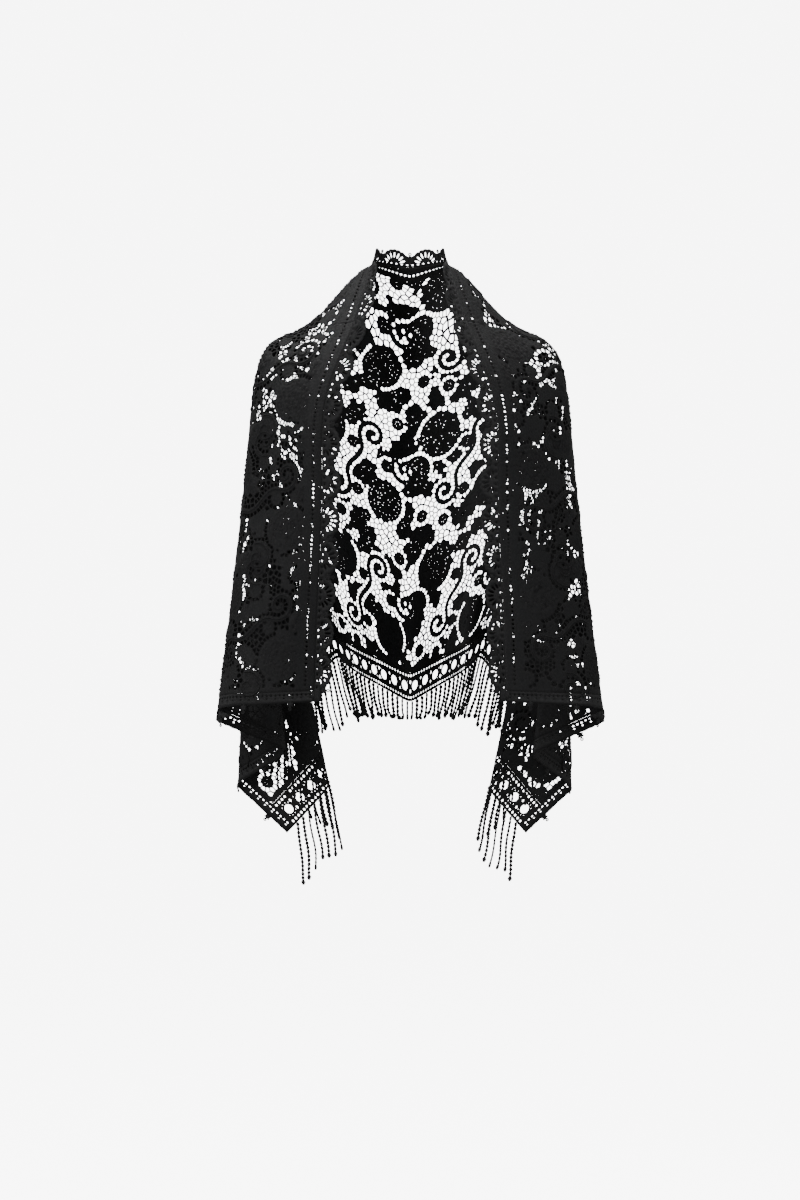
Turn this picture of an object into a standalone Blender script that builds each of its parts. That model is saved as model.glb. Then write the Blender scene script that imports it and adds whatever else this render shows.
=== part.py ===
"""Black lace shawl: one long rectangle of heavy lace, hollow as worn over a pair of shoulders.

Metres, +Z up, the wearer's front towards -Y. The origin is where the shoulders hold the shawl,
level with the side of the neck. A place on the flat cloth is (along, across): along runs with the
scalloped edge, 0 at the nape and positive to +X, and across runs from the seam of that edge, 0,
to the fringe. Drape turns such a place into a place on the worn shawl.
"""

import math

import bmesh
import bpy
import numpy as np
from mathutils import Vector
from mathutils.geometry import delaunay_2d_cdt

# Flat cloth
HALF_LENGTH = 0.778
WIDTH = 0.655
HEADER_HEIGHT = 0.044
BORDER_WIDTH = 0.018
SCALLOP_DEPTH = 0.026
THICKNESS = 0.0012
SEAM_GAP = 0.0003

# The stretches of the cloth and the net of points that shapes them
BACK_COLUMNS = 16
FRONT_COLUMNS = 20
ROWS = 18
CREASE_START = 0.12
CREASE_STEP = 0.062
FOLD_PARTS = 4
NEAR_CREASE = 0.4
MOST_CREASE_REACH = 1.2
WAY_STEPS = 40
WAY_STEP = 0.15
FOLD_SAMPLES = 24
FIELD_WIDTH = WIDTH - HEADER_HEIGHT
FIELD_END = HALF_LENGTH - BORDER_WIDTH

# Fringe
STRIP_HEIGHT = 0.006
STRAND_LENGTH = 0.096
STRAND_WIDTH = 0.0034
STRAND_THICKNESS = 0.0024
STRANDS_APART = 0.0055
STRAND_UNEVEN = 0.05
STRAND_WAVES = 91.0

# Where the cloth leaves the shoulder: its place on the flat cloth and as worn
TIP_ALONG, TIP_ACROSS = 0.205, 0.128
TIP = np.array((0.190, 0.0, -0.107))

# Seam of the scalloped edge, from the nape round the neck and down the front to the hem
EDGE_PATH = (
    # x, y, z
    (0.000, 0.066, -0.004),
    (0.030, 0.056, -0.001),
    (0.052, 0.028, -0.002),
    (0.058, -0.002, -0.012),
    (0.066, -0.034, -0.045),
    (0.084, -0.064, -0.100),
    (0.104, -0.088, -0.150),
    (0.122, -0.102, -0.200),
    (0.129, -0.110, -0.255),
    (0.129, -0.113, -0.330),
    (0.131, -0.113, -0.420),
    (0.136, -0.114, -0.520),
    (0.139, -0.116, -0.620),
    (0.140, -0.118, -0.651),
)

# Middle of the back, from the nape to the fringed hem
BACK_PATH = (
    # y, z
    (0.066, -0.004),
    (0.078, -0.045),
    (0.092, -0.110),
    (0.102, -0.190),
    (0.103, -0.290),
    (0.098, -0.390),
    (0.099, -0.490),
    (0.104, -0.590),
    (0.106, -0.680),
)

# Way that the scalloped edge stands from its seam, by place along the seam
EDGING_LEAN = (
    # along, x, y, z
    (0.00, 0.00, -0.15, 0.99),
    (0.10, -0.30, 0.00, 0.95),
    (0.16, -0.80, 0.05, 0.60),
    (0.26, -1.00, 0.10, 0.15),
    (0.78, -1.00, 0.00, 0.00),
)

# Folds that spread from the shoulder's tip: each row is a ridge or a hollow where it crosses a
# section FOLD_REACH below the tip. The first and the last bound the flat front and the back.
FOLD_REACH = 0.56
FOLDS = {
    -1: (
        # x, y
        (0.258, -0.106),
        (0.281, -0.065),
        (0.260, -0.026),
        (0.284, 0.016),
        (0.190, 0.040),
        (0.256, 0.130),
        (0.144, 0.094),
        (0.232, 0.168),
        (0.170, 0.140),
        (0.158, 0.198),
        (0.130, 0.132),
        (0.104, 0.184),
        (0.097, 0.166),
    ),
    1: (
        # x, y
        (0.258, -0.106),
        (0.282, -0.063),
        (0.262, -0.024),
        (0.284, 0.018),
        (0.190, 0.042),
        (0.244, 0.128),
        (0.144, 0.094),
        (0.226, 0.166),
        (0.165, 0.138),
        (0.152, 0.196),
        (0.124, 0.130),
        (0.100, 0.182),
        (0.094, 0.166),
    ),
}
FOLD_GROWTH = 1.25
ARM_ROUND = 0.042
ARM_ROUND_REACH = 0.05
ARM_TURN_FRONT, ARM_TURN_BACK = 50.0, 165.0

# Soft forms of the flat stretches
SHOULDER_RISE = np.array((0.009, 0.015, 0.036))
FRONT_CROWN = 0.014
BACK_FOLDS = (
    # share of the way out from the middle, sideways, backwards, at the hem
    (0.00, 0.000, 0.000),
    (0.375, 0.006, 0.036),
    (0.75, 0.006, -0.034),
    (1.00, 0.000, 0.000),
)

# Lace gaps over 4 mm: the largest ones of each repeat of the pattern
REPEAT_ALONG = 0.106
REPEATS_ACROSS = 4
REPEAT_GAPS = (
    # along, across, length, width, turn in degrees
    (0.020, 0.030, 0.0100, 0.0072, 20.0),
    (0.072, 0.066, 0.0095, 0.0070, -35.0),
    (0.034, 0.112, 0.0100, 0.0068, 60.0),
)
GAP_SIDES = 4
GAP_CLEAR = 0.008
RING_RADIUS = 0.0078
RING_SIDES = 6
SLIT_LENGTH = 0.0095
SLIT_WIDTH = 0.0050
SLIT_DEPTH = 0.012
SLITS = (
    # share of the scallop, turn in degrees
    (0.35, 75.0),
    (0.65, 105.0),
)
SCALLOP = (
    # share of the scallop, depth
    (0.00, 0.0140),
    (0.10, 0.0105),
    (0.30, 0.0220),
    (0.50, SCALLOP_DEPTH),
    (0.70, 0.0220),
    (0.90, 0.0105),
)

# Loops on the free edge of an end border
LOOPS = 9
LOOP_WIDTH = 0.009
LOOP_HEIGHT = 0.007
LOOP = ((-1.0, 0), (-0.4, 1), (0.4, 1), (1.0, 0))


def smooth_curve(keys, values, at):
    """Values read at the given keys from a smooth curve through the rows."""
    keys = np.asarray(keys, float)
    values = np.asarray(values, float)
    slopes = np.gradient(values, keys, axis=0)
    at = np.asarray(at, float)
    row = np.clip(np.searchsorted(keys, at) - 1, 0, len(keys) - 2)
    span = keys[row + 1] - keys[row]
    part = ((at - keys[row]) / span)[..., None]
    span = span[..., None]
    return (
        values[row] * (1 + 2 * part) * (1 - part) ** 2
        + slopes[row] * span * part * (1 - part) ** 2
        + values[row + 1] * part**2 * (3 - 2 * part)
        - slopes[row + 1] * span * part**2 * (1 - part)
    )


def path_by_length(path, at):
    """Places on a smooth path, read by the length walked from its first point."""
    path = np.asarray(path, float)
    rows = np.arange(len(path))
    fine = np.linspace(0, len(path) - 1, 400)
    points = smooth_curve(rows, path, fine)
    walked = np.concatenate([[0], np.cumsum(np.linalg.norm(np.diff(points, axis=0), axis=1))])
    return np.stack([np.interp(at, walked, points[:, i]) for i in range(path.shape[1])], axis=-1)


def fold_section(side):
    """The section through the folds, with the turn on the flat cloth at each of its points."""
    rows = np.array(FOLDS[side])
    fine = np.linspace(0, len(rows) - 1, FOLD_SAMPLES * (len(rows) - 1) + 1)
    points = smooth_curve(np.arange(len(rows)), rows, fine)
    walked = np.concatenate([[0], np.cumsum(np.linalg.norm(np.diff(points, axis=0), axis=1))])
    return 90 * walked / walked[-1], points


def fold_turns(side, parts=1):
    """The turn of each ridge and hollow, with more turns between them if parts is over 1."""
    turns, _ = fold_section(side)
    return turns[:: FOLD_SAMPLES // parts]


def fold_ray(reach, turn, side):
    """Places down from the shoulder's tip, reach along the cloth in the direction turn degrees."""
    turns, points = fold_section(side)
    node = np.stack([np.interp(turn, turns, points[:, i]) for i in (0, 1)], axis=-1)
    facing = np.radians(ARM_TURN_FRONT + (ARM_TURN_BACK - ARM_TURN_FRONT) * turn / 90)
    outward = np.stack([np.sin(facing), -np.cos(facing)], axis=-1)
    steps = np.linspace(0, 1, 60)[:, None, None] * reach[None, :, None]
    growth = (steps / FOLD_REACH) ** FOLD_GROWTH
    rounding = ARM_ROUND * np.tanh(steps / ARM_ROUND_REACH)
    plan = TIP[:2] + rounding * outward + growth * (node - ARM_ROUND * outward - TIP[:2])
    sideways = np.linalg.norm(np.diff(plan, axis=0), axis=2)
    walked = np.diff(steps[:, :, 0], axis=0)
    drop = np.sqrt(np.maximum(walked**2 - sideways**2, 0)).sum(axis=0)
    return np.column_stack([plan[-1], TIP[2] - drop])


def front_place(along, across, side):
    """The flat front panel, between the front edge and the fold below the shoulder's tip."""
    share = across / TIP_ACROSS
    edge = path_by_length(EDGE_PATH, along)
    outer = fold_ray(along - TIP_ALONG, np.zeros_like(along), side)
    crown = FRONT_CROWN * 4 * share * (1 - share) * np.tanh((along - TIP_ALONG) / 0.2)
    place = edge * (1 - share)[:, None] + outer * share[:, None]
    place[:, 1] -= crown
    return place


def middle_back(across):
    """The middle of the back, by length from the nape."""
    place = path_by_length(BACK_PATH, across)
    return np.column_stack([np.zeros(len(across)), place])


def back_place(along, across, side):
    """The back, between its middle and the fold below the shoulder's tip."""
    share = along / TIP_ALONG
    outer = fold_ray(across - TIP_ACROSS, np.full_like(across, 90.0), side)
    place = middle_back(across) * (1 - share)[:, None] + outer * share[:, None]
    folds = np.array(BACK_FOLDS)
    growth = ((across - TIP_ACROSS) / (WIDTH - TIP_ACROSS)) ** FOLD_GROWTH
    place[:, :2] += growth[:, None] * smooth_curve(folds[:, 0], folds[:, 1:], share)
    return place


def shoulder_place(along, across, side):
    """The cloth on the shoulder, spanned between the edges of the stretches round it."""
    share, down = along / TIP_ALONG, across / TIP_ACROSS
    tips = np.full_like(along, TIP_ALONG), np.full_like(across, TIP_ACROSS)
    neck = path_by_length(EDGE_PATH, along)
    blade = back_place(along, tips[1], side)
    middle = middle_back(across)
    front = front_place(tips[0], across, side)
    corners = (
        ((1 - share) * (1 - down))[:, None] * path_by_length(EDGE_PATH, 0 * along)
        + (share * (1 - down))[:, None] * path_by_length(EDGE_PATH, tips[0])
        + ((1 - share) * down)[:, None] * middle_back(tips[1])
        + (share * down)[:, None] * TIP
    )
    dome = 16 * share * (1 - share) * down * (1 - down)
    return (
        neck * (1 - down)[:, None]
        + blade * down[:, None]
        + middle * (1 - share)[:, None]
        + front * share[:, None]
        - corners
        + dome[:, None] * SHOULDER_RISE
    )


def half_places(along, across, side):
    """Places on one half of the shawl, before smoothing. along is positive on both halves."""
    places = np.zeros((len(along), 3))
    on_cloth = np.maximum(across, 0)
    past_tip, below_tip = along > TIP_ALONG, on_cloth > TIP_ACROSS
    for stretch, place in (
        (~past_tip & ~below_tip, shoulder_place),
        (past_tip & ~below_tip, front_place),
        (~past_tip & below_tip, back_place),
    ):
        places[stretch] = place(along[stretch], on_cloth[stretch], side)
    side_folds = past_tip & below_tip
    ahead, over = along[side_folds] - TIP_ALONG, across[side_folds] - TIP_ACROSS
    places[side_folds] = fold_ray(
        np.hypot(ahead, over), np.degrees(np.arctan2(over, ahead)), side
    )
    lean = np.array(EDGING_LEAN)
    stand = smooth_curve(lean[:, 0], lean[:, 1:], along)
    return places - np.minimum(across, 0)[:, None] * stand


class Drape:
    """The worn shape: a fine net of places, read anywhere on the flat cloth."""

    STEP = 0.0095
    MARGIN = 0.11
    SMOOTHING = 3

    def __init__(self):
        columns = round((HALF_LENGTH + self.MARGIN) / self.STEP)
        self.along = np.arange(-columns, columns + 1) * self.STEP
        self.across = np.arange(round((WIDTH + 2 * self.MARGIN) / self.STEP) + 1) * self.STEP
        self.across -= self.MARGIN
        along, across = np.meshgrid(self.along, self.across, indexing="ij")
        net = np.zeros((*along.shape, 3))
        for side in FOLDS:
            half = along * side >= 0
            places = half_places(np.abs(along[half]), across[half], side)
            net[half] = places * (side, 1, 1)
        for _ in range(self.SMOOTHING):
            around = net[:-2, 1:-1] + net[2:, 1:-1] + net[1:-1, :-2] + net[1:-1, 2:]
            net[1:-1, 1:-1] = net[1:-1, 1:-1] * 0.5 + around * 0.125
        self.net = net

    def place(self, flat):
        """Places on the worn shawl for rows of (along, across)."""
        flat = np.asarray(flat, float)
        columns, column_weights = self.weights(flat[:, 0], self.along)
        rows, row_weights = self.weights(flat[:, 1], self.across)
        near = self.net[columns[:, :, None], rows[:, None, :]]
        return np.einsum("ni,nj,nijk->nk", column_weights, row_weights, near)

    @staticmethod
    def weights(at, lines):
        """The four net lines round each value, and their shares in a smooth curve."""
        step = lines[1] - lines[0]
        first = np.clip(np.floor((at - lines[0]) / step).astype(int), 1, len(lines) - 3)
        part = (at - lines[first]) / step
        shares = np.stack(
            [
                -0.5 * part**3 + part**2 - 0.5 * part,
                1.5 * part**3 - 2.5 * part**2 + 1,
                -1.5 * part**3 + 2 * part**2 + 0.5 * part,
                0.5 * part**3 - 0.5 * part**2,
            ],
            axis=1,
        )
        return first[:, None] + np.arange(-1, 3), shares


def inside(points, loop):
    """Which points lie inside a flat loop."""
    found = np.zeros(len(points), bool)
    for (x0, y0), (x1, y1) in zip(loop, np.roll(loop, -1, axis=0)):
        crosses = (y0 > points[:, 1]) != (y1 > points[:, 1])
        with np.errstate(divide="ignore", invalid="ignore"):
            reach = x0 + (points[:, 1] - y0) * (x1 - x0) / (y1 - y0)
        found ^= crosses & (points[:, 0] < reach)
    return found


def counter_clockwise(flat, triangles):
    """Flat triangles, all turned the same way round."""
    first, second = (flat[triangles[:, i]] - flat[triangles[:, 0]] for i in (1, 2))
    turned = first[:, 0] * second[:, 1] < first[:, 1] * second[:, 0]
    triangles[turned] = triangles[turned][:, ::-1]
    return triangles


def flat_triangles(outline, gaps, inner=(), creases=()):
    """A flat panel with gaps, as points and triangles, with an edge along each crease."""
    loops = [np.asarray(loop, float) for loop in (outline, *gaps)]
    points = [Vector(point) for loop in loops for point in loop]
    edges, first = [], 0
    for loop in loops:
        count = len(loop)
        edges += [(first + i, first + (i + 1) % count) for i in range(count)]
        first += count
    for crease in creases:
        edges += [(len(points) + i, len(points) + i + 1) for i in range(len(crease) - 1)]
        points += [Vector(point) for point in crease]
    points += [Vector(point) for point in inner]
    flat, _, triangles, *_ = delaunay_2d_cdt(points, edges, [], 0, 1e-7)
    flat = np.array([tuple(point) for point in flat])
    triangles = np.array([tuple(face) for face in triangles])
    middles = flat[triangles].mean(axis=1)
    kept = inside(middles, loops[0])
    for loop in loops[1:]:
        kept &= ~inside(middles, loop)
    triangles = triangles[kept]
    used, index = np.unique(triangles, return_inverse=True)
    flat, triangles = flat[used], index.reshape(-1, 3)
    return flat, counter_clockwise(flat, triangles)


def make_object(name, points, faces, material):
    """One closed solid from its points and faces."""
    shape = bmesh.new()
    corners = [shape.verts.new(point) for point in points]
    for face in faces:
        shape.faces.new([corners[i] for i in face])
    mesh = bpy.data.meshes.new(name)
    shape.to_mesh(mesh)
    shape.free()
    mesh.materials.append(material)
    solid = bpy.data.objects.new(name, mesh)
    bpy.context.collection.objects.link(solid)
    return solid


def rim_edges(triangles):
    """Directed edges of a flat mesh that only one triangle has."""
    edges = {(a, b) for face in triangles for a, b in zip(face, np.roll(face, -1))}
    return [(a, b) for a, b in edges if (b, a) not in edges]


def place_key(flat):
    """The flat place to the nearest millimetre, which both sides of a seam share."""
    return round(flat[0], 3), round(flat[1], 3)


def rim_faces(flat, edge):
    """Two triangles across a cut edge, split the same way on both sides of a seam."""
    a, b = edge
    count = len(flat)
    first, second = (place_key(flat[i])[::-1] for i in edge)
    if first < second:
        return [(b, a, b + count), (a, a + count, b + count)]
    return [(b, a, a + count), (b, a + count, b + count)]


class Panel:
    """A flat piece of the shawl: its points, its triangles and the strands that it carries."""

    def __init__(self, name, stretch, flat, triangles, material, strands=()):
        self.name, self.material = name, material
        self.flat = np.asarray(flat, float) * (stretch.side, 1)
        self.triangles = counter_clockwise(self.flat, np.array(triangles))
        self.strands = strands

    def face_normals(self, drape):
        """The way out of each triangle of the worn panel."""
        a, b, c = (drape.place(self.flat)[self.triangles[:, i]] for i in range(3))
        normals = np.cross(b - a, c - a)
        return normals / np.linalg.norm(normals, axis=1, keepdims=True)


def way_out(normals):
    """The direction that stands clear of the faces with these normals, and how far to go in it."""
    way = normals.mean(axis=0)
    for _ in range(WAY_STEPS):
        way = way + WAY_STEP * normals[np.argmin(normals @ way)]
        way /= np.linalg.norm(way)
    return way * min(1 / max((normals @ way).min(), 0.1), MOST_CREASE_REACH)


def ways_out(drape, panels):
    """The way out of the cloth at each flat place, the same for the pieces that meet there."""
    normals = {}
    for panel in panels:
        for face, normal in zip(panel.triangles, panel.face_normals(drape)):
            for i in face:
                normals.setdefault(place_key(panel.flat[i]), []).append(normal)
    return {key: way_out(np.array(found)) for key, found in normals.items()}


def make_wall(drape, panel, ways):
    """A thin wall on the worn shape, closed by a rim at each cut edge, with its strands."""
    flat, count = panel.flat, len(panel.flat)
    middle = drape.place(flat)
    out = np.array([ways[place_key(point)] for point in flat]) * (THICKNESS / 2)
    points = list(middle + out) + list(middle - out)
    faces = [tuple(face) for face in panel.triangles]
    faces += [tuple(face + count)[::-1] for face in panel.triangles]
    strands = strands_apart(drape, panel)
    for edge in sorted(rim_edges(panel.triangles)):
        line = strands.get(tuple(sorted(edge)))
        if line is None:
            faces += rim_faces(flat, edge)
        else:
            add_strand(line, edge, count, points, faces)
    make_object(panel.name, points, faces, panel.material)


def lines_between(start, end, pieces):
    """Evenly spaced values from start to end."""
    return start + (end - start) * np.arange(pieces + 1) / pieces


def with_creases(lines, creases):
    """Evenly spaced lines, where a crease takes the place of any line that lies near it."""
    clear = NEAR_CREASE * (lines[1] - lines[0])
    creases = creases[(creases > lines[0] + clear) & (creases < lines[-1] - clear)]
    kept = [line for line in lines[1:-1] if not (np.abs(creases - line) < clear).any()]
    return np.sort([lines[0], *kept, *creases, lines[-1]])


def creases_along(side, across):
    """Where the ridges and hollows cross the line at this place across the cloth."""
    turns = np.radians(fold_turns(side)[1:-1])
    return np.sort(TIP_ALONG + (across - TIP_ACROSS) / np.tan(turns))


def creases_across(side, along):
    """Where the ridges and hollows cross the line at this place along the cloth."""
    turns = np.radians(fold_turns(side)[:-1])
    return TIP_ACROSS + (along - TIP_ALONG) * np.tan(turns)


def halved(lines):
    """The lines with one more midway between each two."""
    return np.sort(np.concatenate([lines, (lines[1:] + lines[:-1]) / 2]))


def inset(lines):
    """The lines with half a seam gap left at both ends."""
    lines = np.array(lines, float)
    lines[[0, -1]] += (SEAM_GAP / 2, -SEAM_GAP / 2)
    return lines


class Stretch:
    """One stretch of the shawl: its side, and the net lines that its pieces share at seams."""

    def __init__(self, place, side, start, end, pieces):
        self.place, self.side = place, side
        self.columns = lines_between(start, end, pieces)
        self.rows = lines_between(0, FIELD_WIDTH, ROWS)
        self.hem = self.columns
        self.fringe_line = halved(self.columns)
        self.end_rows = self.rows
        if place != "back":
            self.hem = with_creases(self.columns, creases_along(side, FIELD_WIDTH))
            self.fringe_line = with_creases(self.fringe_line, creases_along(side, WIDTH))
            self.end_rows = with_creases(self.rows, creases_across(side, FIELD_END))


def round_gap(centre, length, width, turn, sides):
    """A gap's outline: a few points on an ellipse."""
    angles = 2 * math.pi * np.arange(sides) / sides
    cos, sin = math.cos(math.radians(turn)), math.sin(math.radians(turn))
    x, y = np.cos(angles) * length / 2, np.sin(angles) * width / 2
    return np.column_stack([centre[0] + x * cos - y * sin, centre[1] + x * sin + y * cos])


def field_gaps(first, last):
    """The largest gaps of the lace, in each repeat between two lines across the cloth."""
    gaps = []
    repeats = math.ceil(HALF_LENGTH / REPEAT_ALONG)
    for column in range(-repeats, repeats):
        for row in range(REPEATS_ACROSS):
            shift = REPEAT_ALONG / 2 * (row % 2)
            for along, across, length, width, turn in REPEAT_GAPS:
                x = column * REPEAT_ALONG + shift + along
                y = row * FIELD_WIDTH / REPEATS_ACROSS + across
                if first + GAP_CLEAR < x < last - GAP_CLEAR:
                    gaps.append(round_gap((x, y), length, width, turn, GAP_SIDES))
    return gaps


def far_from(points, gaps, clear):
    """The points that lie clear of every gap."""
    centres = np.array([gap.mean(axis=0) for gap in gaps])
    apart = np.linalg.norm(np.asarray(points)[:, None] - centres[None], axis=2).min(axis=1)
    return list(np.asarray(points)[apart > clear])


def off_creases(gap, side):
    """Whether a gap lies clear of every ridge and hollow of one side."""
    ahead, over = gap.mean(axis=0) - (TIP_ALONG, TIP_ACROSS)
    turns = np.radians(fold_turns(side)[:-1])
    aside = np.abs(over * np.cos(turns) - ahead * np.sin(turns)).min()
    return min(ahead, over) < 0 or aside > GAP_CLEAR


def fold_net(side):
    """Flat points along the folds of one side: those on ridges and hollows, and those between."""
    creases, between = [], []
    high, last = FIELD_WIDTH - SEAM_GAP / 2, FIELD_END - SEAM_GAP / 2
    for i, turn in enumerate(np.radians(fold_turns(side, FOLD_PARTS)[:-1])):
        ahead, over = math.cos(turn), math.sin(turn)
        to_hem = (FIELD_WIDTH - TIP_ACROSS) / max(over, 1e-9)
        to_end = (FIELD_END - TIP_ALONG) / ahead
        end = (TIP_ALONG + to_hem * ahead, high)
        if to_end < to_hem:
            end = (last, TIP_ACROSS + to_end * over)
        on_crease = i % FOLD_PARTS == 0
        first = CREASE_START if on_crease else 2 * CREASE_START
        reach = np.arange(first, min(to_hem, to_end) - CREASE_STEP / 3, CREASE_STEP)
        points = [(TIP_ALONG + r * ahead, TIP_ACROSS + r * over) for r in reach]
        if on_crease:
            creases.append([*points, end])
        elif 2 * (i % FOLD_PARTS) != FOLD_PARTS:
            between += points
    return creases, between


def field_panel(stretch, material):
    """One stretch of the lace field, with its largest gaps cut through."""
    columns, rows = stretch.columns, stretch.rows
    low, high = SEAM_GAP / 2, FIELD_WIDTH - SEAM_GAP / 2
    sides = inset(rows), inset(stretch.end_rows)
    left, right = inset(columns)[[0, -1]]
    outline = [(x, low) for x in inset(columns)] + [(right, y) for y in sides[1][1:]]
    outline += [(x, high) for x in inset(stretch.hem)[-2::-1]]
    outline += [(left, y) for y in sides[0][-2:0:-1]]
    gaps = field_gaps(columns[0], columns[-1])
    creases, inner, flat_rows = [], [], rows[1:-1]
    if stretch.place != "back":
        creases, inner = fold_net(stretch.side)
        gaps = [gap for gap in gaps if off_creases(gap, stretch.side)]
        flat_rows = flat_rows[flat_rows < TIP_ACROSS - 0.4 * (rows[1] - rows[0])]
    inner = inner + [(x, y) for x in columns[1:-1] for y in flat_rows]
    inner = far_from(inner, gaps, GAP_CLEAR)
    flat, triangles = flat_triangles(outline, gaps, inner, creases)
    return Panel(f"field_{stretch.place}", stretch, flat, triangles, material)


def header_panel(stretch, material):
    """The openwork band over the fringe, with one ring in each column."""
    low, high = FIELD_WIDTH + SEAM_GAP / 2, WIDTH - SEAM_GAP / 2
    outline = [(x, low) for x in inset(stretch.hem)]
    outline += [(x, high) for x in inset(stretch.fringe_line)[::-1]]
    centres = [((a + b) / 2, (low + high) / 2) for a, b in zip(stretch.columns, stretch.columns[1:])]
    rings = [round_gap(c, 2 * RING_RADIUS, 2 * RING_RADIUS, 0, RING_SIDES) for c in centres]
    flat, triangles = flat_triangles(outline, rings)
    return Panel(f"header_{stretch.place}", stretch, flat, triangles, material)


def edging_panel(stretch, material):
    """The scalloped edge: one scallop to two columns, with a small point in each notch."""
    columns = inset(stretch.columns)
    outer, slits = [], []
    for start, end in zip(columns[:-2:2], columns[2::2]):
        pitch = end - start
        outer += [(start + share * pitch, -depth) for share, depth in SCALLOP]
        for share, turn in SLITS:
            centre = (start + share * pitch, -SLIT_DEPTH)
            slits.append(round_gap(centre, SLIT_LENGTH, SLIT_WIDTH, turn, GAP_SIDES))
    seam = list(columns[::-1])
    notch = SCALLOP[0][1]
    if stretch.place != "back":
        seam[0] = stretch.columns[-1]
        seam.insert(0, HALF_LENGTH)
        outer += [(stretch.columns[-1], -notch), (HALF_LENGTH, -notch)]
    else:
        outer.append((columns[-1], -notch))
    outline = [(x, -SEAM_GAP / 2) for x in seam] + outer
    flat, triangles = flat_triangles(outline, slits)
    return Panel(f"edging_{stretch.place}", stretch, flat, triangles, material)


def border_panel(stretch, material):
    """The plain end border, with small loops along its free edge."""
    half = SEAM_GAP / 2
    rows = inset([*stretch.end_rows, WIDTH])
    outline = [(HALF_LENGTH, half)]
    for i in range(LOOPS):
        middle = WIDTH * (i + 0.5) / LOOPS
        for step, height in LOOP:
            loop = (HALF_LENGTH + height * LOOP_HEIGHT, middle + step * LOOP_WIDTH / 2)
            outline.append(loop)
    outline.append((HALF_LENGTH, WIDTH - half))
    outline += [(FIELD_END + half, y) for y in rows[::-1]]
    flat, triangles = flat_triangles(outline, [])
    return Panel(f"border_{stretch.place}", stretch, flat, triangles, material)


def down_the_cloth(flat):
    """The direction on the flat cloth that hangs downwards when worn, near the fringed edge."""
    ahead = math.copysign(max(abs(flat[0]) - TIP_ALONG, 0), flat[0])
    down = np.array((ahead, flat[1] - TIP_ACROSS))
    return down / np.linalg.norm(down)


def strands_apart(drape, panel):
    """The middle line of each strand that a panel carries, without any that would touch another."""
    kept = {}
    for edge in panel.strands:
        root = panel.flat[list(edge)].mean(axis=0)
        length = STRAND_LENGTH * (1 + STRAND_UNEVEN * math.sin(STRAND_WAVES * root[0]))
        line = np.linspace(*drape.place([root, root + down_the_cloth(root) * length]), 9)
        apart = [np.linalg.norm(line[:, None] - other, axis=2).min() for other in kept.values()]
        if min(apart, default=1) > STRANDS_APART:
            kept[edge] = line
    return kept


def add_strand(line, edge, count, points, faces):
    """One strand on an edge of the strip, with its root in the strip."""
    a, b = edge
    ring = (b, a, a + count, b + count)
    corners = np.array([points[i] for i in ring])
    down = (line[-1] - line[0]) / np.linalg.norm(line[-1] - line[0])
    sideways = corners[0] + corners[3] - corners[1] - corners[2]
    sideways -= down * (sideways @ down)
    sideways *= STRAND_THICKNESS / 2 / np.linalg.norm(sideways)
    out = np.cross(sideways, down)
    if out @ (corners[0] + corners[1] - corners[2] - corners[3]) < 0:
        out = -out
    end = corners.mean(axis=0) + line[-1] - line[0]
    points += [end + sideways + out, end - sideways + out, end - sideways - out, end + sideways - out]
    tip = tuple(range(len(points) - 4, len(points)))
    for i in range(4):
        faces.append((ring[i], ring[(i + 1) % 4], tip[(i + 1) % 4], tip[i]))
    faces.append(tip)


def fringe_panel(stretch, material):
    """The narrow strip under the header, with a strand between each two net lines."""
    low, high = WIDTH + SEAM_GAP / 2, WIDTH + STRIP_HEIGHT
    line = inset(stretch.fringe_line)
    count = len(line)
    middles = (line[1:] + line[:-1]) / 2
    roots = [x + step for x in middles for step in (-STRAND_WIDTH / 2, STRAND_WIDTH / 2)]
    flat = [(x, low) for x in line] + [(x, high) for x in line] + [(x, high) for x in roots]
    faces, strands = [], []
    for i in range(count - 1):
        a, b = 2 * count + 2 * i, 2 * count + 2 * i + 1
        faces += [(i, a, count + i), (i, i + 1, a), (i + 1, b, a), (i + 1, count + i + 1, b)]
        strands.append((a, b))
    return Panel(f"fringe_{stretch.place}", stretch, flat, faces, material, strands)


def black_thread(name, shade, roughness):
    """A Principled material for one kind of thread."""
    material = bpy.data.materials.new(name)
    material.use_nodes = True
    shader = material.node_tree.nodes["Principled BSDF"]
    shader.inputs["Base Color"].default_value = (shade, shade, shade * 1.04, 1)
    shader.inputs["Roughness"].default_value = roughness
    shader.inputs["Metallic"].default_value = 0
    return material


def main():
    for existing in list(bpy.data.objects):
        bpy.data.objects.remove(existing, do_unlink=True)
    drape = Drape()
    lace = black_thread("lace", 0.016, 0.75)
    edging = black_thread("edging", 0.02, 0.7)
    cord = black_thread("cord", 0.018, 0.6)

    back = Stretch("back", 1, -TIP_ALONG, TIP_ALONG, BACK_COLUMNS)
    left = Stretch("left", -1, TIP_ALONG, FIELD_END, FRONT_COLUMNS)
    right = Stretch("right", 1, TIP_ALONG, FIELD_END, FRONT_COLUMNS)
    panels = []
    for stretch in (left, back, right):
        panels.append(field_panel(stretch, lace))
        panels.append(edging_panel(stretch, edging))
        panels.append(header_panel(stretch, edging))
        panels.append(fringe_panel(stretch, cord))
    panels += [border_panel(stretch, edging) for stretch in (left, right)]
    ways = ways_out(drape, panels)
    for panel in panels:
        make_wall(drape, panel, ways)


main()
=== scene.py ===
"""Black lace shawl, dressed: real openwork lace laid on the shape in which the shawl is worn.

Metres, +Z up, the wearer's front towards -Y. A flat place on the cloth is (along, across): along
runs with the scalloped edge, 0 at the nape and positive to +X, and across runs from the seam of
that edge, 0, to the fringe.
"""

from __future__ import annotations

import logging
import math
from dataclasses import dataclass, field
from enum import Enum
from typing import Any, Callable, Iterable, Optional, Sequence

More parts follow.
